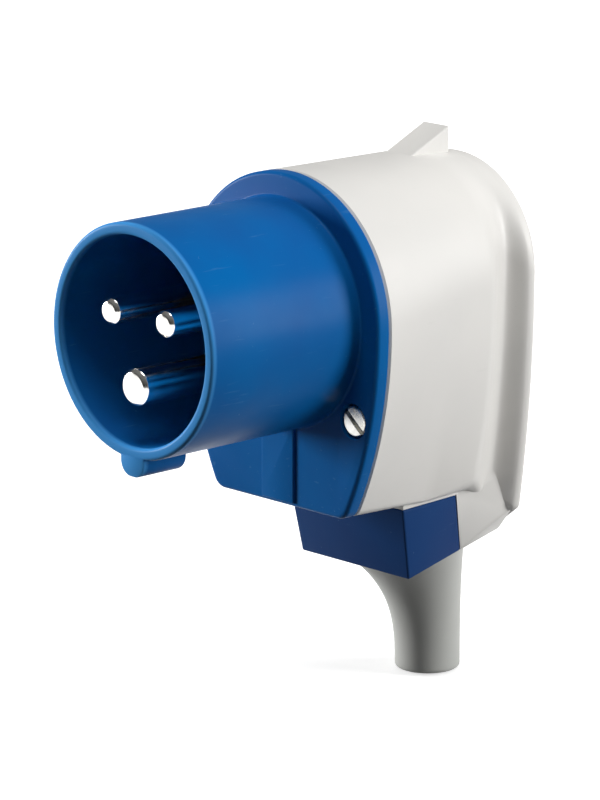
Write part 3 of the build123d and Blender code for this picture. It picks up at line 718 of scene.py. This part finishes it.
@dataclass
class NeckFrame:
    """The leaning frame of the cable neck."""

    y: float = 71.0
    z: float = -49.4
    lean: float = math.radians(10.5)

    def at(self, x: float, depth: float, height: float) -> Point:
        """A point of the neck in the row's frame."""
        back = self.y + depth * math.cos(self.lean) - height * math.sin(self.lean)
        return x, back, self.z + depth * math.sin(self.lean) + height * math.cos(self.lean)

    def height_at(self, depth: float, level: float) -> float:
        """How high up the axis a level lies, at a distance behind the split."""
        return (level - self.z - depth * math.sin(self.lean)) / math.cos(self.lean)

    def foot_at(self, y: float) -> float:
        """The level of the neck's lower plane."""
        return self.z + (y - self.y) * math.tan(self.lean)

    def ring(self, radius: float, height: float, count: int) -> list[Point]:
        """Points of a ring round the neck's axis."""
        return [self.at(x, depth, height) for x, depth in circle(radius, count)]

    def turned(self, name: str, profile: Sequence[Flat], count: int = PIN_POINTS) -> Piece:
        """A skin turned about the neck's axis."""
        return rings_to_skin(name, [self.ring(radius, height, count) for radius, height in profile])


NECK = NeckFrame()
# Radius and height of the cable's way up the neck: room for the sleeve's spigot and lip and for the
# seal, then the clamp's two ribs that grip the cable, then the way's upper end
SEAL_ROOM = [(8.2, -1.0), (8.2, 3.0), (9.6, 3.0), (9.6, 5.2), (8.0, 5.2), (8.0, 7.7), (6.0, 7.7)]
GRIP_RIBS = [
    (6.0, 8.75), (5.1, 8.75), (5.1, 9.95), (6.0, 9.95),
    (6.0, 11.15), (5.1, 11.15), (5.1, 12.35), (6.0, 12.35),
]
PASSAGE_END = (6.0, 17.7)


# Sub-assemblies


@dataclass
class FrontCover:
    """Blue moulding: shroud, keying rib, flange with its raised panel, spigot and ears."""

    radius: float = 21.75
    bore: float = 19.5
    back: float = 43.5
    count: int = 192
    bore_rings: Flat = (24.0, 8.0)
    skin_rings: Flat = (12.0, 24.0)
    mouth_round: float = 0.7
    root_round: float = 0.5
    root_sink: float = 0.6
    edge_round: float = 0.8
    edge_chamfer: float = 0.4
    key_width: float = 6.4
    key_height: float = 3.3
    key_length: float = 10.7
    key_round: float = 2.8
    key_sink: float = 0.6
    key_front: tuple[Flat, ...] = ((0.35, 0.0), (0.1, 0.1), (0.0, 0.35))
    key_end_round: float = 0.8
    panel_width: float = 8.6
    panel_height: float = 0.5
    panel_foot: float = -35.7
    panel_edge: float = 0.22
    recess_radius: float = 3.35
    shank_hole: float = 1.95
    spigot_inset: float = 2.6
    spigot_wall: float = 1.4
    spigot_depth: float = 3.0
    boss_room: float = 4.15
    ear: Flat = (9.5, -23.998)
    ear_radius: float = 3.2
    ear_hole: Flat = (1.53, 37.8)
    sink: float = 0.5

    def shroud(self) -> Piece:
        """The tube with its rounded mouth and a small cove at the flange.

        Returns:
            The tube.
        """
        r, down = self.mouth_round, 1.5 * math.pi
        profile = [(self.bore, y) for y in (self.back, *self.bore_rings)]
        profile += arc((self.bore + r, r), r, math.pi, down, 6) + [(self.bore + r, 0.0)]
        profile += arc((self.radius - r, r), r, down, math.tau, 6)
        profile += [(self.radius, y) for y in (r, *self.skin_rings)]
        cove, root = self.root_round, self.radius + self.root_round
        profile += arc((root, FLANGE_FRONT - cove), cove, math.pi, 0.5 * math.pi, 5)
        profile += [(root, FLANGE_FRONT), (root, FLANGE_FRONT + self.root_sink)]
        profile += [(self.radius, FLANGE_FRONT + 2 * self.root_sink), (self.radius, self.back)]
        rings = [[(a, y, b) for a, b in circle(radius, self.count)] for radius, y in profile]
        return hoop("shroud", rings)

    def flange(self) -> Piece:
        """The plate with its rounded front edge, its bore and the screw recesses.

        Returns:
            The plate.
        """
        r, front, back = self.edge_round, FLANGE_FRONT - PAST, FLANGE_BACK + PAST
        profile = [(r - r * math.sin(t), FLANGE_FRONT + r - r * math.cos(t)) for t in quarter(6)]
        profile += [(0.0, FLANGE_BACK - self.edge_chamfer), (self.edge_chamfer, FLANGE_BACK)]
        plate = rings_to_skin("flange", [FLANGE.ring(y, inset) for inset, y in profile])
        cut(plate, rod((self.bore + self.radius) / 2, front, back, (0.0, 0.0), self.count))
        for side in Side:
            place = side.of(COVER_SCREW)
            cut(plate, rod(self.recess_radius, front, COVER_SCREW_SEAT, place, HEAD_POINTS))
            cut(plate, rod(self.shank_hole, front, back, place))
        return plate

    def key(self) -> Piece:
        """The keying rib under the mouth.

        Returns:
            The rib.
        """
        half, r, down = self.key_width / 2, self.key_round, 1.5 * math.pi
        root, foot = self.key_sink - self.radius, -self.radius - self.key_height
        high, side = root - foot, root - foot - r
        outline = [(-half, root - side * i / 4) for i in range(4)]
        outline += arc((r - half, foot + r), r, math.pi, down, 12)
        outline += arc((half - r, foot + r), r, down, math.tau, 12)
        outline += [(half, foot + r + side * i / 4) for i in range(5)]
        end, start = self.key_end_round, self.key_length - self.key_end_round
        ends = [*self.key_front, (0.0, start)]
        ends += [(end - end * math.cos(t), start + end * math.sin(t)) for t in quarter(5)[1:]]
        middle = (root + foot) / 2
        rings = []
        for inset, y in ends:
            narrow, low = 1 - inset / half, 1 - inset / high
            lift = middle + high * (1 - low) / 2
            rings.append([(x * narrow, y, lift + (z - middle) * low) for x, z in outline])
        return rings_to_skin("key", rings)

    def panel(self) -> Piece:
        """The raised panel on the flange below the shroud.

        Returns:
            The panel.
        """
        front, back = FLANGE_FRONT - self.panel_height, FLANGE_FRONT + self.sink
        low = plan(self.panel_width / 2, front, back, self.panel_foot)
        top = -(self.radius + self.bore) / 2
        return block("panel", low + [(x, y, top) for x, y, z in low], self.panel_edge)

    def spigot(self) -> Piece:
        """The low wall behind the flange that centres it in the housing.

        Returns:
            The wall.
        """
        front, back = FLANGE_BACK - self.sink, FLANGE_BACK + self.spigot_depth
        outer, inner = self.spigot_inset, self.spigot_inset + self.spigot_wall
        path = [(outer, front), (outer, back), (inner, back), (inner, front)]
        wall = hoop("spigot", [FLANGE.ring(y, inset) for inset, y in path])
        for side in Side:
            place = side.of(COVER_SCREW)
            cut(wall, rod(self.boss_room, front - PAST, back + PAST, place, HEAD_POINTS))
        return wall

    def build(self, finishes: Finishes) -> None:
        """Model the moulding and dress it.

        Args:
            finishes: the finishes.
        """
        cover = self.shroud()
        for piece in (self.flange(), self.key(), self.panel(), self.spigot()):
            cut(cover, piece, union=True)
        hole, floor = self.ear_hole
        for side in Side:
            place = side.of(self.ear)
            ear = rod(self.ear_radius, FLANGE_BACK - self.sink, self.back, place, EAR_POINTS)
            cut(cover, ear, union=True)
            cut(cover, rod(hole, floor, self.back + PAST, place))
        cover.name = "front_cover_moulding"
        settle(cover, finishes, "cover", "front_cover")


@dataclass
class ContactPin:
    """A turned contact pin with its bored terminal end."""

    name: str
    angle: float
    radius: float
    setback: float
    terminal: float
    wire: float
    circle_radius: float = 8.5
    middle: float = 20.0
    shoulder: float = 38.8
    end: float = 54.3
    wire_floor: float = 42.3
    chamfer: float = 0.7
    edge: float = 0.12
    edge_rise: float = 0.04
    edge_run: float = 0.15
    groove: Flat = (33.5, 34.3)
    groove_depth: float = 0.3

    def build(self, finishes: Finishes) -> None:
        """Model the pin and dress it.

        Args:
            finishes: the finishes.
        """
        turn = math.radians(self.angle)
        place = self.circle_radius * math.cos(turn), self.circle_radius * math.sin(turn)
        r, tip, edge, rise = self.radius, self.setback, self.edge, self.edge_rise
        face, flank = r - self.chamfer, tip + self.chamfer
        profile = [(face - edge, tip), (face, tip + rise), (face + edge, tip + self.edge_run)]
        profile += [(r - edge, flank - edge), (r - rise, flank), (r, flank + edge)]
        (front, back), neck = self.groove, r - self.groove_depth
        profile += [(r, self.middle), (r, front), (neck, front), (neck, back), (r, back)]
        profile += [(r, self.shoulder), (self.terminal, self.shoulder), (self.terminal, self.end)]
        profile += [(self.wire, self.end), (self.wire, self.wire_floor)]
        pin = lathe(f"{self.name}_turned", profile, place, PIN_POINTS)
        settle(pin, finishes, "pin", self.name)


@dataclass
class CoverScrews:
    """The two slotted screws in the flange's recesses."""

    head_radius: float = 2.9
    head_height: float = 1.7
    head_round: float = 0.5
    shank_radius: float = 1.75
    length: float = 9.5
    tip_chamfer: float = 0.5
    slot_width: float = 1.0
    slot_edge: float = 0.06
    edge: float = 0.07
    turn: float = math.radians(41.0)

    def screw(self, side: Side) -> Piece:
        """One screw with its slot.

        Args:
            side: the side it stands on.

        Returns:
            The screw.
        """
        x, z = side.of(COVER_SCREW)
        seat, head, shank = COVER_SCREW_SEAT, self.head_radius, self.shank_radius
        top, tip, r = seat - self.head_height, seat + self.length, self.head_round
        profile = arc((head - r, top + r), r, 1.5 * math.pi, math.tau, 6)
        profile += [(head, top + r), (head, seat), (shank, seat)]
        profile += [(shank, tip - self.tip_chamfer), (shank - self.tip_chamfer, tip)]
        screw = lathe("cover_screw", profile, (x, z), HEAD_POINTS)
        along = Vector((math.cos(self.turn), 0.0, -math.sin(self.turn))) * 2 * head
        across = Vector((math.sin(self.turn), 0.0, math.cos(self.turn))) * self.slot_width / 2
        middle, floor = Vector((x, top, z)), Vector((0.0, self.head_height / 2, 0.0))
        corners = []
        for depth in (-floor, floor):
            for a, b in ((-1, -1), (1, -1), (1, 1), (-1, 1)):
                corners.append(tuple(middle + depth + along * a + across * b))
        cut(screw, block("slot_cutter", corners, self.slot_edge, 2))
        soften(screw, self.edge)
        return screw

    def build(self, finishes: Finishes) -> None:
        """Model the screws and dress them."""
        screws = join("cover_screws_slotted", *[self.screw(side) for side in Side])
        settle(screws, finishes, "screw", "cover_screws")


@dataclass
class RearHousing:
    """Grey grip shell with side grooves, rear rim, lid wedge and the cable neck's rear half."""

    shoulder_y: float = 59.0
    grip_y: float = 69.5
    waist_y: float = 77.8
    rim_y: float = 82.0
    back: float = 83.6
    rim_round: float = 1.2
    joint_bevel: float = 0.4
    shoulder: Arch = field(default_factory=lambda: Arch(23.5, 26.1, -37.2, 16.4, 1.0))
    grip: Arch = field(default_factory=lambda: Arch(22.1, 26.0, -37.2, 17.2, 4.0))
    waist: Arch = field(default_factory=lambda: Arch(17.75, 25.6, -41.0, 13.8, 3.0))
    rim: Arch = field(default_factory=lambda: Arch(20.7, 24.6, -43.0, 17.2, 1.5))
    chin: Flat = (12.4, -46.0)
    chin_inset: float = 0.2
    chin_lap: float = 0.6
    chin_edge: float = 0.7
    wedge_front: float = 66.8
    wedge_rear: float = 77.2
    wedge_top: float = 30.4
    wedge_half: float = 3.4
    wedge_root: float = 1.4
    wedge_lip: float = 0.3
    wedge_edge: float = 0.35
    neck_rear: float = 12.6
    neck_half: float = 12.4
    neck_corner: float = 5.0
    neck_edge: tuple[Flat, ...] = ((0.0, 0.5), (0.15, 0.15), (0.5, 0.0))
    neck_top: float = 14.8
    neck_top_halves: Flat = (14.5, 14.4)
    neck_top_corner: float = 3.0
    split: float = 0.05
    web_height: float = 12.0
    web_inset: float = 0.8
    web_edge: float = 0.6
    web_sink: float = 1.2
    web_lap: float = 0.4
    web_round: float = 0.35
    seat_top: float = -35.4
    seat_front_half: float = 15.6
    seat_rear: Flat = (0.3, 14.4)
    seat_edge: float = 0.25
    screw_recess: float = 2.45
    screw_seat: float = 79.1
    shank_end: float = 63.1
    wall: float = 2.4
    space_steps: int = 6
    spigot_seat: float = 42.7
    boss_end: float = 51.5
    boss_radius: float = 3.95
    boss_holes: tuple[Flat, Flat] = ((2.48, 46.2), (1.95, 50.0))
    gasket_groove: Point = (0.65, 1.65, 40.8)

    def stations(self) -> list[tuple[float, Arch]]:
        """The shell's sections from the joint to the rear rim.

        Returns:
            Pairs of depth and section.
        """
        runs = [(FLANGE_BACK, FLANGE, self.shoulder_y, self.shoulder, 10, False),
                (self.shoulder_y, self.shoulder, self.grip_y, self.grip, 8, False),
                (self.grip_y, self.grip, self.waist_y, self.waist, 10, True),
                (self.waist_y, self.waist, self.rim_y, self.rim, 10, True)]
        found = []
        for y0, first, y1, second, steps, eased in runs:
            for i in range(steps):
                share = i / steps
                growth = (1 - math.cos(math.pi * share)) / 2 if eased else share
                found.append((y0 + (y1 - y0) * share, first.towards(second, growth)))
        return found

    def shell(self) -> Piece:
        """The shell's skin.

        Returns:
            The skin.
        """
        bevel, r = self.joint_bevel, self.rim_round
        rings = [FLANGE.ring(FLANGE_BACK, bevel)]
        rings += [arch.ring(max(y, FLANGE_BACK + bevel)) for y, arch in self.stations()]
        for t in quarter(8):
            rings.append(self.rim.ring(self.back - r * (1 - math.sin(t)), r * (1 - math.cos(t))))
        return rings_to_skin("shell", rings)

    def neck(self) -> Piece:
        """The rear half of the cable neck.

        Returns:
            The neck.
        """
        levels = [(height, CLAMP_HALF - inset, self.neck_half - inset, self.neck_corner, inset)
                  for height, inset in self.neck_edge]
        levels.append((self.neck_top, *self.neck_top_halves, self.neck_top_corner, 0.0))
        rings = []
        for height, front, rear, corner, inset in levels:
            end, between = self.neck_rear - inset, front + (rear - front) * 0.5
            outline = [(front, self.split), (between, end * 0.5)]
            outline += arc((rear - corner, end - corner), corner, 0.0, math.pi / 2, 10)
            outline += [(0.0, end)]
            outline += arc((corner - rear, end - corner), corner, math.pi / 2, math.pi, 10)
            outline += [(-rear, end - corner), (-between, end * 0.5), (-front, self.split)]
            rings.append([NECK.at(x, depth, height) for x, depth in outline])
        return rings_to_skin("neck", rings)

    def web(self) -> Piece:
        """The flare that joins the neck's sides to the foot of the rear rim.

        Returns:
            The flare.
        """
        top = NECK.height_at(0.0, self.grip.foot + self.web_sink)
        front = [(CLAMP_HALF + CLAMP_DRAFT * height / CLAMP_HEIGHT, height)
                 for height in (0.0, self.web_edge, top)]
        rear = [(self.chin[0], NECK.foot_at(self.rim_y)),
                (self.rim.foot_half_width - self.web_inset, self.rim.foot + self.web_inset),
                (self.waist.foot_half_width + self.web_inset, self.rim.foot + self.web_height)]
        front += [(-x, height) for x, height in reversed(front)]
        rear += [(-x, level) for x, level in reversed(rear)]
        rings = [[NECK.at(x, self.split, height) for x, height in front]]
        rings.append([(x, self.rim_y + self.web_lap, level) for x, level in rear])
        flare = rings_to_skin("web", rings)
        soften(flare, self.web_round, angle=20.0, segments=3)
        return flare

    def chin_plate(self) -> Piece:
        """The rear rim's foot, which slopes in to the neck.

        Returns:
            The foot.
        """
        half, foot = self.chin
        wide = self.rim.foot_half_width - self.chin_inset
        low = plan(half, self.rim_y, self.back, foot)
        high = [(math.copysign(wide, x), y, self.rim.foot + self.chin_lap) for x, y, z in low]
        return block("chin", low + high, self.chin_edge)

    def seat(self) -> Piece:
        """The flat pad that the clamp block is drawn up to.

        Returns:
            The pad.
        """
        corners = []
        for level in (CLAMP_TOP, self.seat_top):
            for depth, half in ((-CLAMP_DEPTH, self.seat_front_half), self.seat_rear):
                x, y, z = NECK.at(half, depth, NECK.height_at(depth, CLAMP_TOP))
                first = math.copysign(x, depth)
                corners += [(first, y, level), (-first, y, level)]
        return block("seat", corners, self.seat_edge)

    def wedge(self) -> Piece:
        """The ramp on the crown.

        Returns:
            The ramp.
        """
        top = self.grip.top
        low = plan(self.wedge_half, self.wedge_front, self.wedge_rear, top - self.wedge_root)
        rise = {self.wedge_front: top - self.wedge_lip, self.wedge_rear: self.wedge_top}
        return block("wedge", low + [(x, y, rise[y]) for x, y, z in low], self.wedge_edge)

    def wiring_space(self) -> Piece:
        """The hollow for the wires, with the bosses of the cover screws left standing in it.

        Returns:
            The hollow's skin.
        """
        middle = replace(self.shoulder, foot=FLANGE.foot, corner=FLANGE.corner)
        top = self.rim.top - self.wall / 2
        rear = replace(self.waist, top=top, foot=self.grip.foot, corner=FLANGE.corner)
        places = [(FLANGE_BACK - PAST, FLANGE), (self.spigot_seat, FLANGE)]
        for first, y0, second, y1 in ((FLANGE, self.spigot_seat, middle, self.shoulder_y),
                                      (middle, self.shoulder_y, rear, self.back - self.wall)):
            for i in range(1, self.space_steps + 1):
                share = i / self.space_steps
                places.append((y0 + (y1 - y0) * share, first.towards(second, share)))
        space = rings_to_skin("space", [arch.ring(y, self.wall) for y, arch in places])
        for side in Side:
            place = side.of(COVER_SCREW)
            boss = rod(self.boss_radius, FLANGE_BACK - 2 * PAST, self.boss_end, place, HEAD_POINTS)
            cut(space, boss)
        return space

    def groove(self) -> Piece:
        """The gasket's groove in the housing's front edge.

        Returns:
            The groove's skin.
        """
        outer, inner, floor = self.gasket_groove
        front = FLANGE_BACK - PAST
        path = [(outer, front), (outer, floor), (inner, floor), (inner, front)]
        return hoop("groove", [FLANGE.ring(y, inset) for inset, y in path])

    def build(self, finishes: Finishes) -> None:
        """Model the housing and dress it.

        Args:
            finishes: the finishes.
        """
        shell = self.shell()
        for piece in (self.neck(), self.web(), self.chin_plate(), self.seat(), self.wedge()):
            cut(shell, piece, union=True)
        passage = NECK.turned("passage", [*SEAL_ROOM, PASSAGE_END])
        for piece in (self.wiring_space(), self.groove(), passage):
            cut(shell, piece)
        for side in Side:
            for radius, floor in self.boss_holes:
                cut(shell, rod(radius, FLANGE_BACK - PAST, floor, side.of(COVER_SCREW)))
            shank, head, seat = CLAMP_SCREW_HOLE, self.screw_recess, self.screw_seat
            profile = [(shank, self.shank_end), (shank, seat)]
            profile += [(head, seat), (head, self.back + PAST)]
            cut(shell, lathe("screw_cutter", profile, side.of(CLAMP_SCREW), HOLE_POINTS))
        shell.name = "rear_housing_moulding"
        settle(shell, finishes, "housing", "rear_housing")


@dataclass
class CableClamp:
    """Clamp block in front of the cable neck, in the cover's blue darkened as painted shade."""

    front_half: float = 14.6
    edge: float = 0.45
    nut_y: float = 64.7
    nut_slot: Point = (5.2, 1.8, 5.3)
    nut_slot_edge: float = 0.05
    hole_end: float = 90.0

    def nut_room(self, side: Side) -> Piece:
        """The slot that a nut is dropped into from above.

        Args:
            side: the side it lies on.

        Returns:
            The slot's shape.
        """
        wide, deep, high = self.nut_slot
        front, back = self.nut_y - deep / 2, self.nut_y + deep / 2
        low = plan(wide / 2, front, back, CLAMP_TOP - high, side.of(CLAMP_SCREW)[0])
        top = CLAMP_TOP + PAST
        return block("nut_room", low + [(x, y, top) for x, y, z in low], self.nut_slot_edge, 1)

    def build(self, finishes: Finishes) -> None:
        """Model the block and dress it.

        Args:
            finishes: the finishes.
        """
        corners = []
        for upper in (False, True):
            for depth, half, way in ((-CLAMP_DEPTH, self.front_half, -1), (0.0, CLAMP_HALF, 1)):
                height = NECK.height_at(depth, CLAMP_TOP) if upper else 0.0
                x, y, z = NECK.at(half + CLAMP_DRAFT * height / CLAMP_HEIGHT, depth, height)
                corners += [(way * x, y, z), (-way * x, y, z)]
        clamp = block("clamp_block", corners, self.edge)
        cut(clamp, NECK.turned("saddle", [*SEAL_ROOM, *GRIP_RIBS, PASSAGE_END]))
        start = self.nut_y - self.nut_slot[1]
        for side in Side:
            cut(clamp, rod(CLAMP_SCREW_HOLE, start, self.hole_end, side.of(CLAMP_SCREW)))
            cut(clamp, self.nut_room(side))
        settle(clamp, finishes, "clamp", "cable_clamp")


@dataclass
class CableSleeve:
    """Grey flared sleeve with its open bore, and the lipped spigot that holds it in the neck."""

    tip_z: float = -76.0
    tip_y: float = 75.6
    tip_radius: float = 6.3
    tip_round: float = 0.9
    flare_y: float = 67.0
    flare_radius: float = 13.0
    power: float = 2.9
    bore: float = 4.4
    bore_chamfer: float = 0.4
    bore_levels: Flat = (20.0, 6.0)
    spigot: tuple[Flat, ...] = (
        (8.0, 0.0), (8.0, 3.2), (9.4, 3.2), (9.4, 5.0), (4.8, 5.0), (4.8, 3.2)
    )
    count: int = 128
    steps: int = 32
    search: Flat = (0.5, 1.4)
    halvings: int = 40

    def point(self, share: float, turn: float) -> Point:
        """A point of the flared surface.

        Args:
            share: how far up from the tip.
            turn: the angle round the sleeve.

        Returns:
            The point in millimetres.
        """
        growth = share ** self.power
        radius = self.tip_radius + (self.flare_radius - self.tip_radius) * growth
        y = self.tip_y + (self.flare_y - self.tip_y) * growth
        z = self.tip_z + (NECK.z - self.tip_z) * share
        return radius * math.cos(turn), y + radius * math.sin(turn), z

    def top_share(self, turn: float) -> float:
        """Where the surface meets the neck's lower plane.

        Args:
            turn: the angle round the sleeve.

        Returns:
            The share of the way up.
        """
        low, high = self.search
        for _ in range(self.halvings):
            middle = (low + high) / 2
            x, y, z = self.point(middle, turn)
            low, high = (middle, high) if z < NECK.foot_at(y) else (low, middle)
        return low

    def build(self, finishes: Finishes) -> None:
        """Model the sleeve and dress it.

        Args:
            finishes: the finishes.
        """
        turns = [math.tau * i / self.count for i in range(self.count)]
        tops = [self.top_share(turn) for turn in turns]
        level, r = self.tip_z, self.tip_round
        heights = (*self.bore_levels, self.bore_chamfer)
        end = [(self.bore, level + height) for height in heights]
        end += [(self.bore + self.bore_chamfer, level)]
        face = self.tip_radius - r
        end += [(face + r * math.sin(t), level + r * (1 - math.cos(t))) for t in quarter(6)]
        rings = []
        for radius, z in end:
            flat = [(radius * math.cos(t), radius * math.sin(t)) for t in turns]
            rings.append([(x, self.tip_y + depth, z) for x, depth in flat])
        first = r / (NECK.z - self.tip_z)
        for i in range(1, self.steps + 1):
            shares = [first + (top - first) * i / self.steps for top in tops]
            rings.append([self.point(share, turn) for share, turn in zip(shares, turns)])
        rings += [NECK.ring(radius, height, self.count) for radius, height in self.spigot]
        settle(hoop("cable_sleeve_flared", rings), finishes, "sleeve", "cable_sleeve")


@dataclass
class InnerPieces:
    """The solids that keep their own meshes, and the finish of each."""

    slots: dict[str, str] = field(default_factory=lambda: {
        "contact_carrier": "carrier",
        "pin_retainer": "retainer",
        "retainer_screw": "screw",
        "terminal_screws": "screw",
        "carrier_screws": "screw",
        "cover_inserts": "insert",
        "cover_gasket": "gasket",
        "clamp_screws": "screw",
        "clamp_nuts": "screw",
        "cable_seal": "seal",
    })

    def dress(self, finishes: Finishes) -> None:
        """Give each solid its finish.

        Args:
            finishes: the finishes.
        """
        for node, slot in self.slots.items():
            finishes.dress(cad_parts[node], slot)
            log.info("%s: %s finish", node, slot)


# Studio


@dataclass(frozen=True)
class Panel:
    """A soft light: its place and size in metres, and its power in watts."""

    name: str
    place: Point
    size: Flat
    power: float


@dataclass
class Studio:
    """Pale floor, soft lights and the camera."""

    floor_level: float = -76.4
    floor_size: float = 6.0
    floor_colours: tuple[Point, Point] = ((0.80, 0.80, 0.80), (0.78, 0.78, 0.78))
    floor_roughness: float = 0.9
    floor_glow: float = 0.62
    eye: Point = (632.93, -555.62, 191.73)
    target: Point = (-3.445, 45.0, -18.695)
    focal_pixels: float = 4807.45
    picture_height: int = 800
    sensor: float = 36.0
    clip: float = 0.01
    light_target: Point = (0.0, 0.045, -0.01)
    panels: tuple[Panel, ...] = (
        Panel("left_panel", (-0.76, -0.34, 0.06), (0.30, 0.30), 8.5),
        Panel("right_panel", (0.70, 0.58, 0.22), (0.40, 0.50), 7.0),
    )
    overhead_way: Point = (0.08, -0.12, 0.98)
    overhead_strength: float = 1.75
    overhead_width: float = math.radians(30.0)
    bright_side: Point = (0.20, 0.65, 0.73)
    surround_slope: Flat = (-0.4, 0.6)
    surround: Flat = (0.02, 0.24)

    def floor(self) -> None:
        """Lay the floor."""
        deselect()
        place = (0.0, 0.0, self.floor_level * MM)
        bpy.ops.mesh.primitive_plane_add(size=self.floor_size, location=place)
        floor = bpy.context.object
        floor.name = "floor"
        nodes = Nodes("pale_floor")
        clouds = nodes.clouds(FLOOR_CLOUDS, (0.0, 1.0))
        nodes.feed(nodes.mix(clouds, *self.floor_colours), "Base Color")
        nodes.fix("Roughness", self.floor_roughness)
        nodes.fix("Emission Color", (1.0, 1.0, 1.0, 1.0))
        nodes.fix("Emission Strength", self.floor_glow)
        floor.data.materials.append(nodes.material)
        floor.visible_diffuse = False

    def lamp(self, panel: Panel) -> None:
        """Hang a soft light that faces the plug.

        Args:
            panel: the light.
        """
        deselect()
        aim = Vector(self.light_target) - Vector(panel.place)
        turn = aim.to_track_quat("-Z", "Y").to_euler()
        bpy.ops.object.light_add(type="AREA", location=panel.place, rotation=turn)
        light = bpy.context.object
        light.name = panel.name
        light.data.shape = "RECTANGLE"
        light.data.size, light.data.size_y = panel.size
        light.data.energy = panel.power

    def overhead(self) -> None:
        """Light the plug from a broad patch of the sky."""
        deselect()
        way = Vector(self.overhead_way)
        turn = (-way).to_track_quat("-Z", "Y").to_euler()
        bpy.ops.object.light_add(type="SUN", location=way, rotation=turn)
        light = bpy.context.object
        light.name = "overhead_light"
        light.data.energy = self.overhead_strength
        light.data.angle = self.overhead_width

    def world(self) -> None:
        """A pale surround that fades towards the ground and the side before the mouth."""
        world = bpy.data.worlds.new("surround")
        world.use_nodes = True
        tree = world.node_tree
        background = tree.nodes["Background"]
        background.inputs["Color"].default_value = (1.0, 1.0, 1.0, 1.0)
        way = tree.nodes.new("ShaderNodeTexCoord")
        slope = tree.nodes.new("ShaderNodeVectorMath")
        slope.operation = "DOT_PRODUCT"
        slope.inputs[1].default_value = self.bright_side
        fade = tree.nodes.new("ShaderNodeMapRange")
        set_range(fade, self.surround_slope, self.surround)
        tree.links.new(way.outputs["Generated"], slope.inputs[0])
        tree.links.new(slope.outputs["Value"], fade.inputs["Value"])
        tree.links.new(fade.outputs["Result"], background.inputs["Strength"])
        bpy.context.scene.world = world

    def camera(self) -> None:
        """Stand the camera where the picture was taken from."""
        deselect()
        eye, target = metres((self.eye, self.target))
        turn = (target - eye).to_track_quat("-Z", "Y").to_euler()
        bpy.ops.object.camera_add(location=eye, rotation=turn)
        camera = bpy.context.object
        camera.name = "camera"
        camera.data.sensor_fit = "VERTICAL"
        camera.data.sensor_height = self.sensor
        camera.data.lens = self.sensor * self.focal_pixels / self.picture_height
        camera.data.clip_start = self.clip
        bpy.context.scene.camera = camera

    def build(self) -> None:
        """Set up floor, lights, surround and camera."""
        self.floor()
        self.overhead()
        for panel in self.panels:
            self.lamp(panel)
        self.world()
        self.camera()
        bpy.context.scene.view_settings.view_transform = "Standard"


def main() -> None:
    """Build every sub-assembly in order, then the studio."""
    logging.basicConfig(level=logging.INFO, format="%(message)s")
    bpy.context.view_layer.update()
    finishes = Finishes()
    FrontCover().build(finishes)
    for pin in (
        ContactPin("live_pin", angle=150.0, radius=2.5, setback=1.1, terminal=4.0, wire=2.2),
        ContactPin("neutral_pin", angle=30.0, radius=2.5, setback=1.1, terminal=4.0, wire=2.2),
        ContactPin("earth_pin", angle=270.0, radius=3.5, setback=0.4, terminal=4.3, wire=2.5),
    ):
        pin.build(finishes)
    CoverScrews().build(finishes)
    RearHousing().build(finishes)
    CableClamp().build(finishes)
    CableSleeve().build(finishes)
    InnerPieces().dress(finishes)
    Studio().build()


if __name__ == "__main__":
    main()
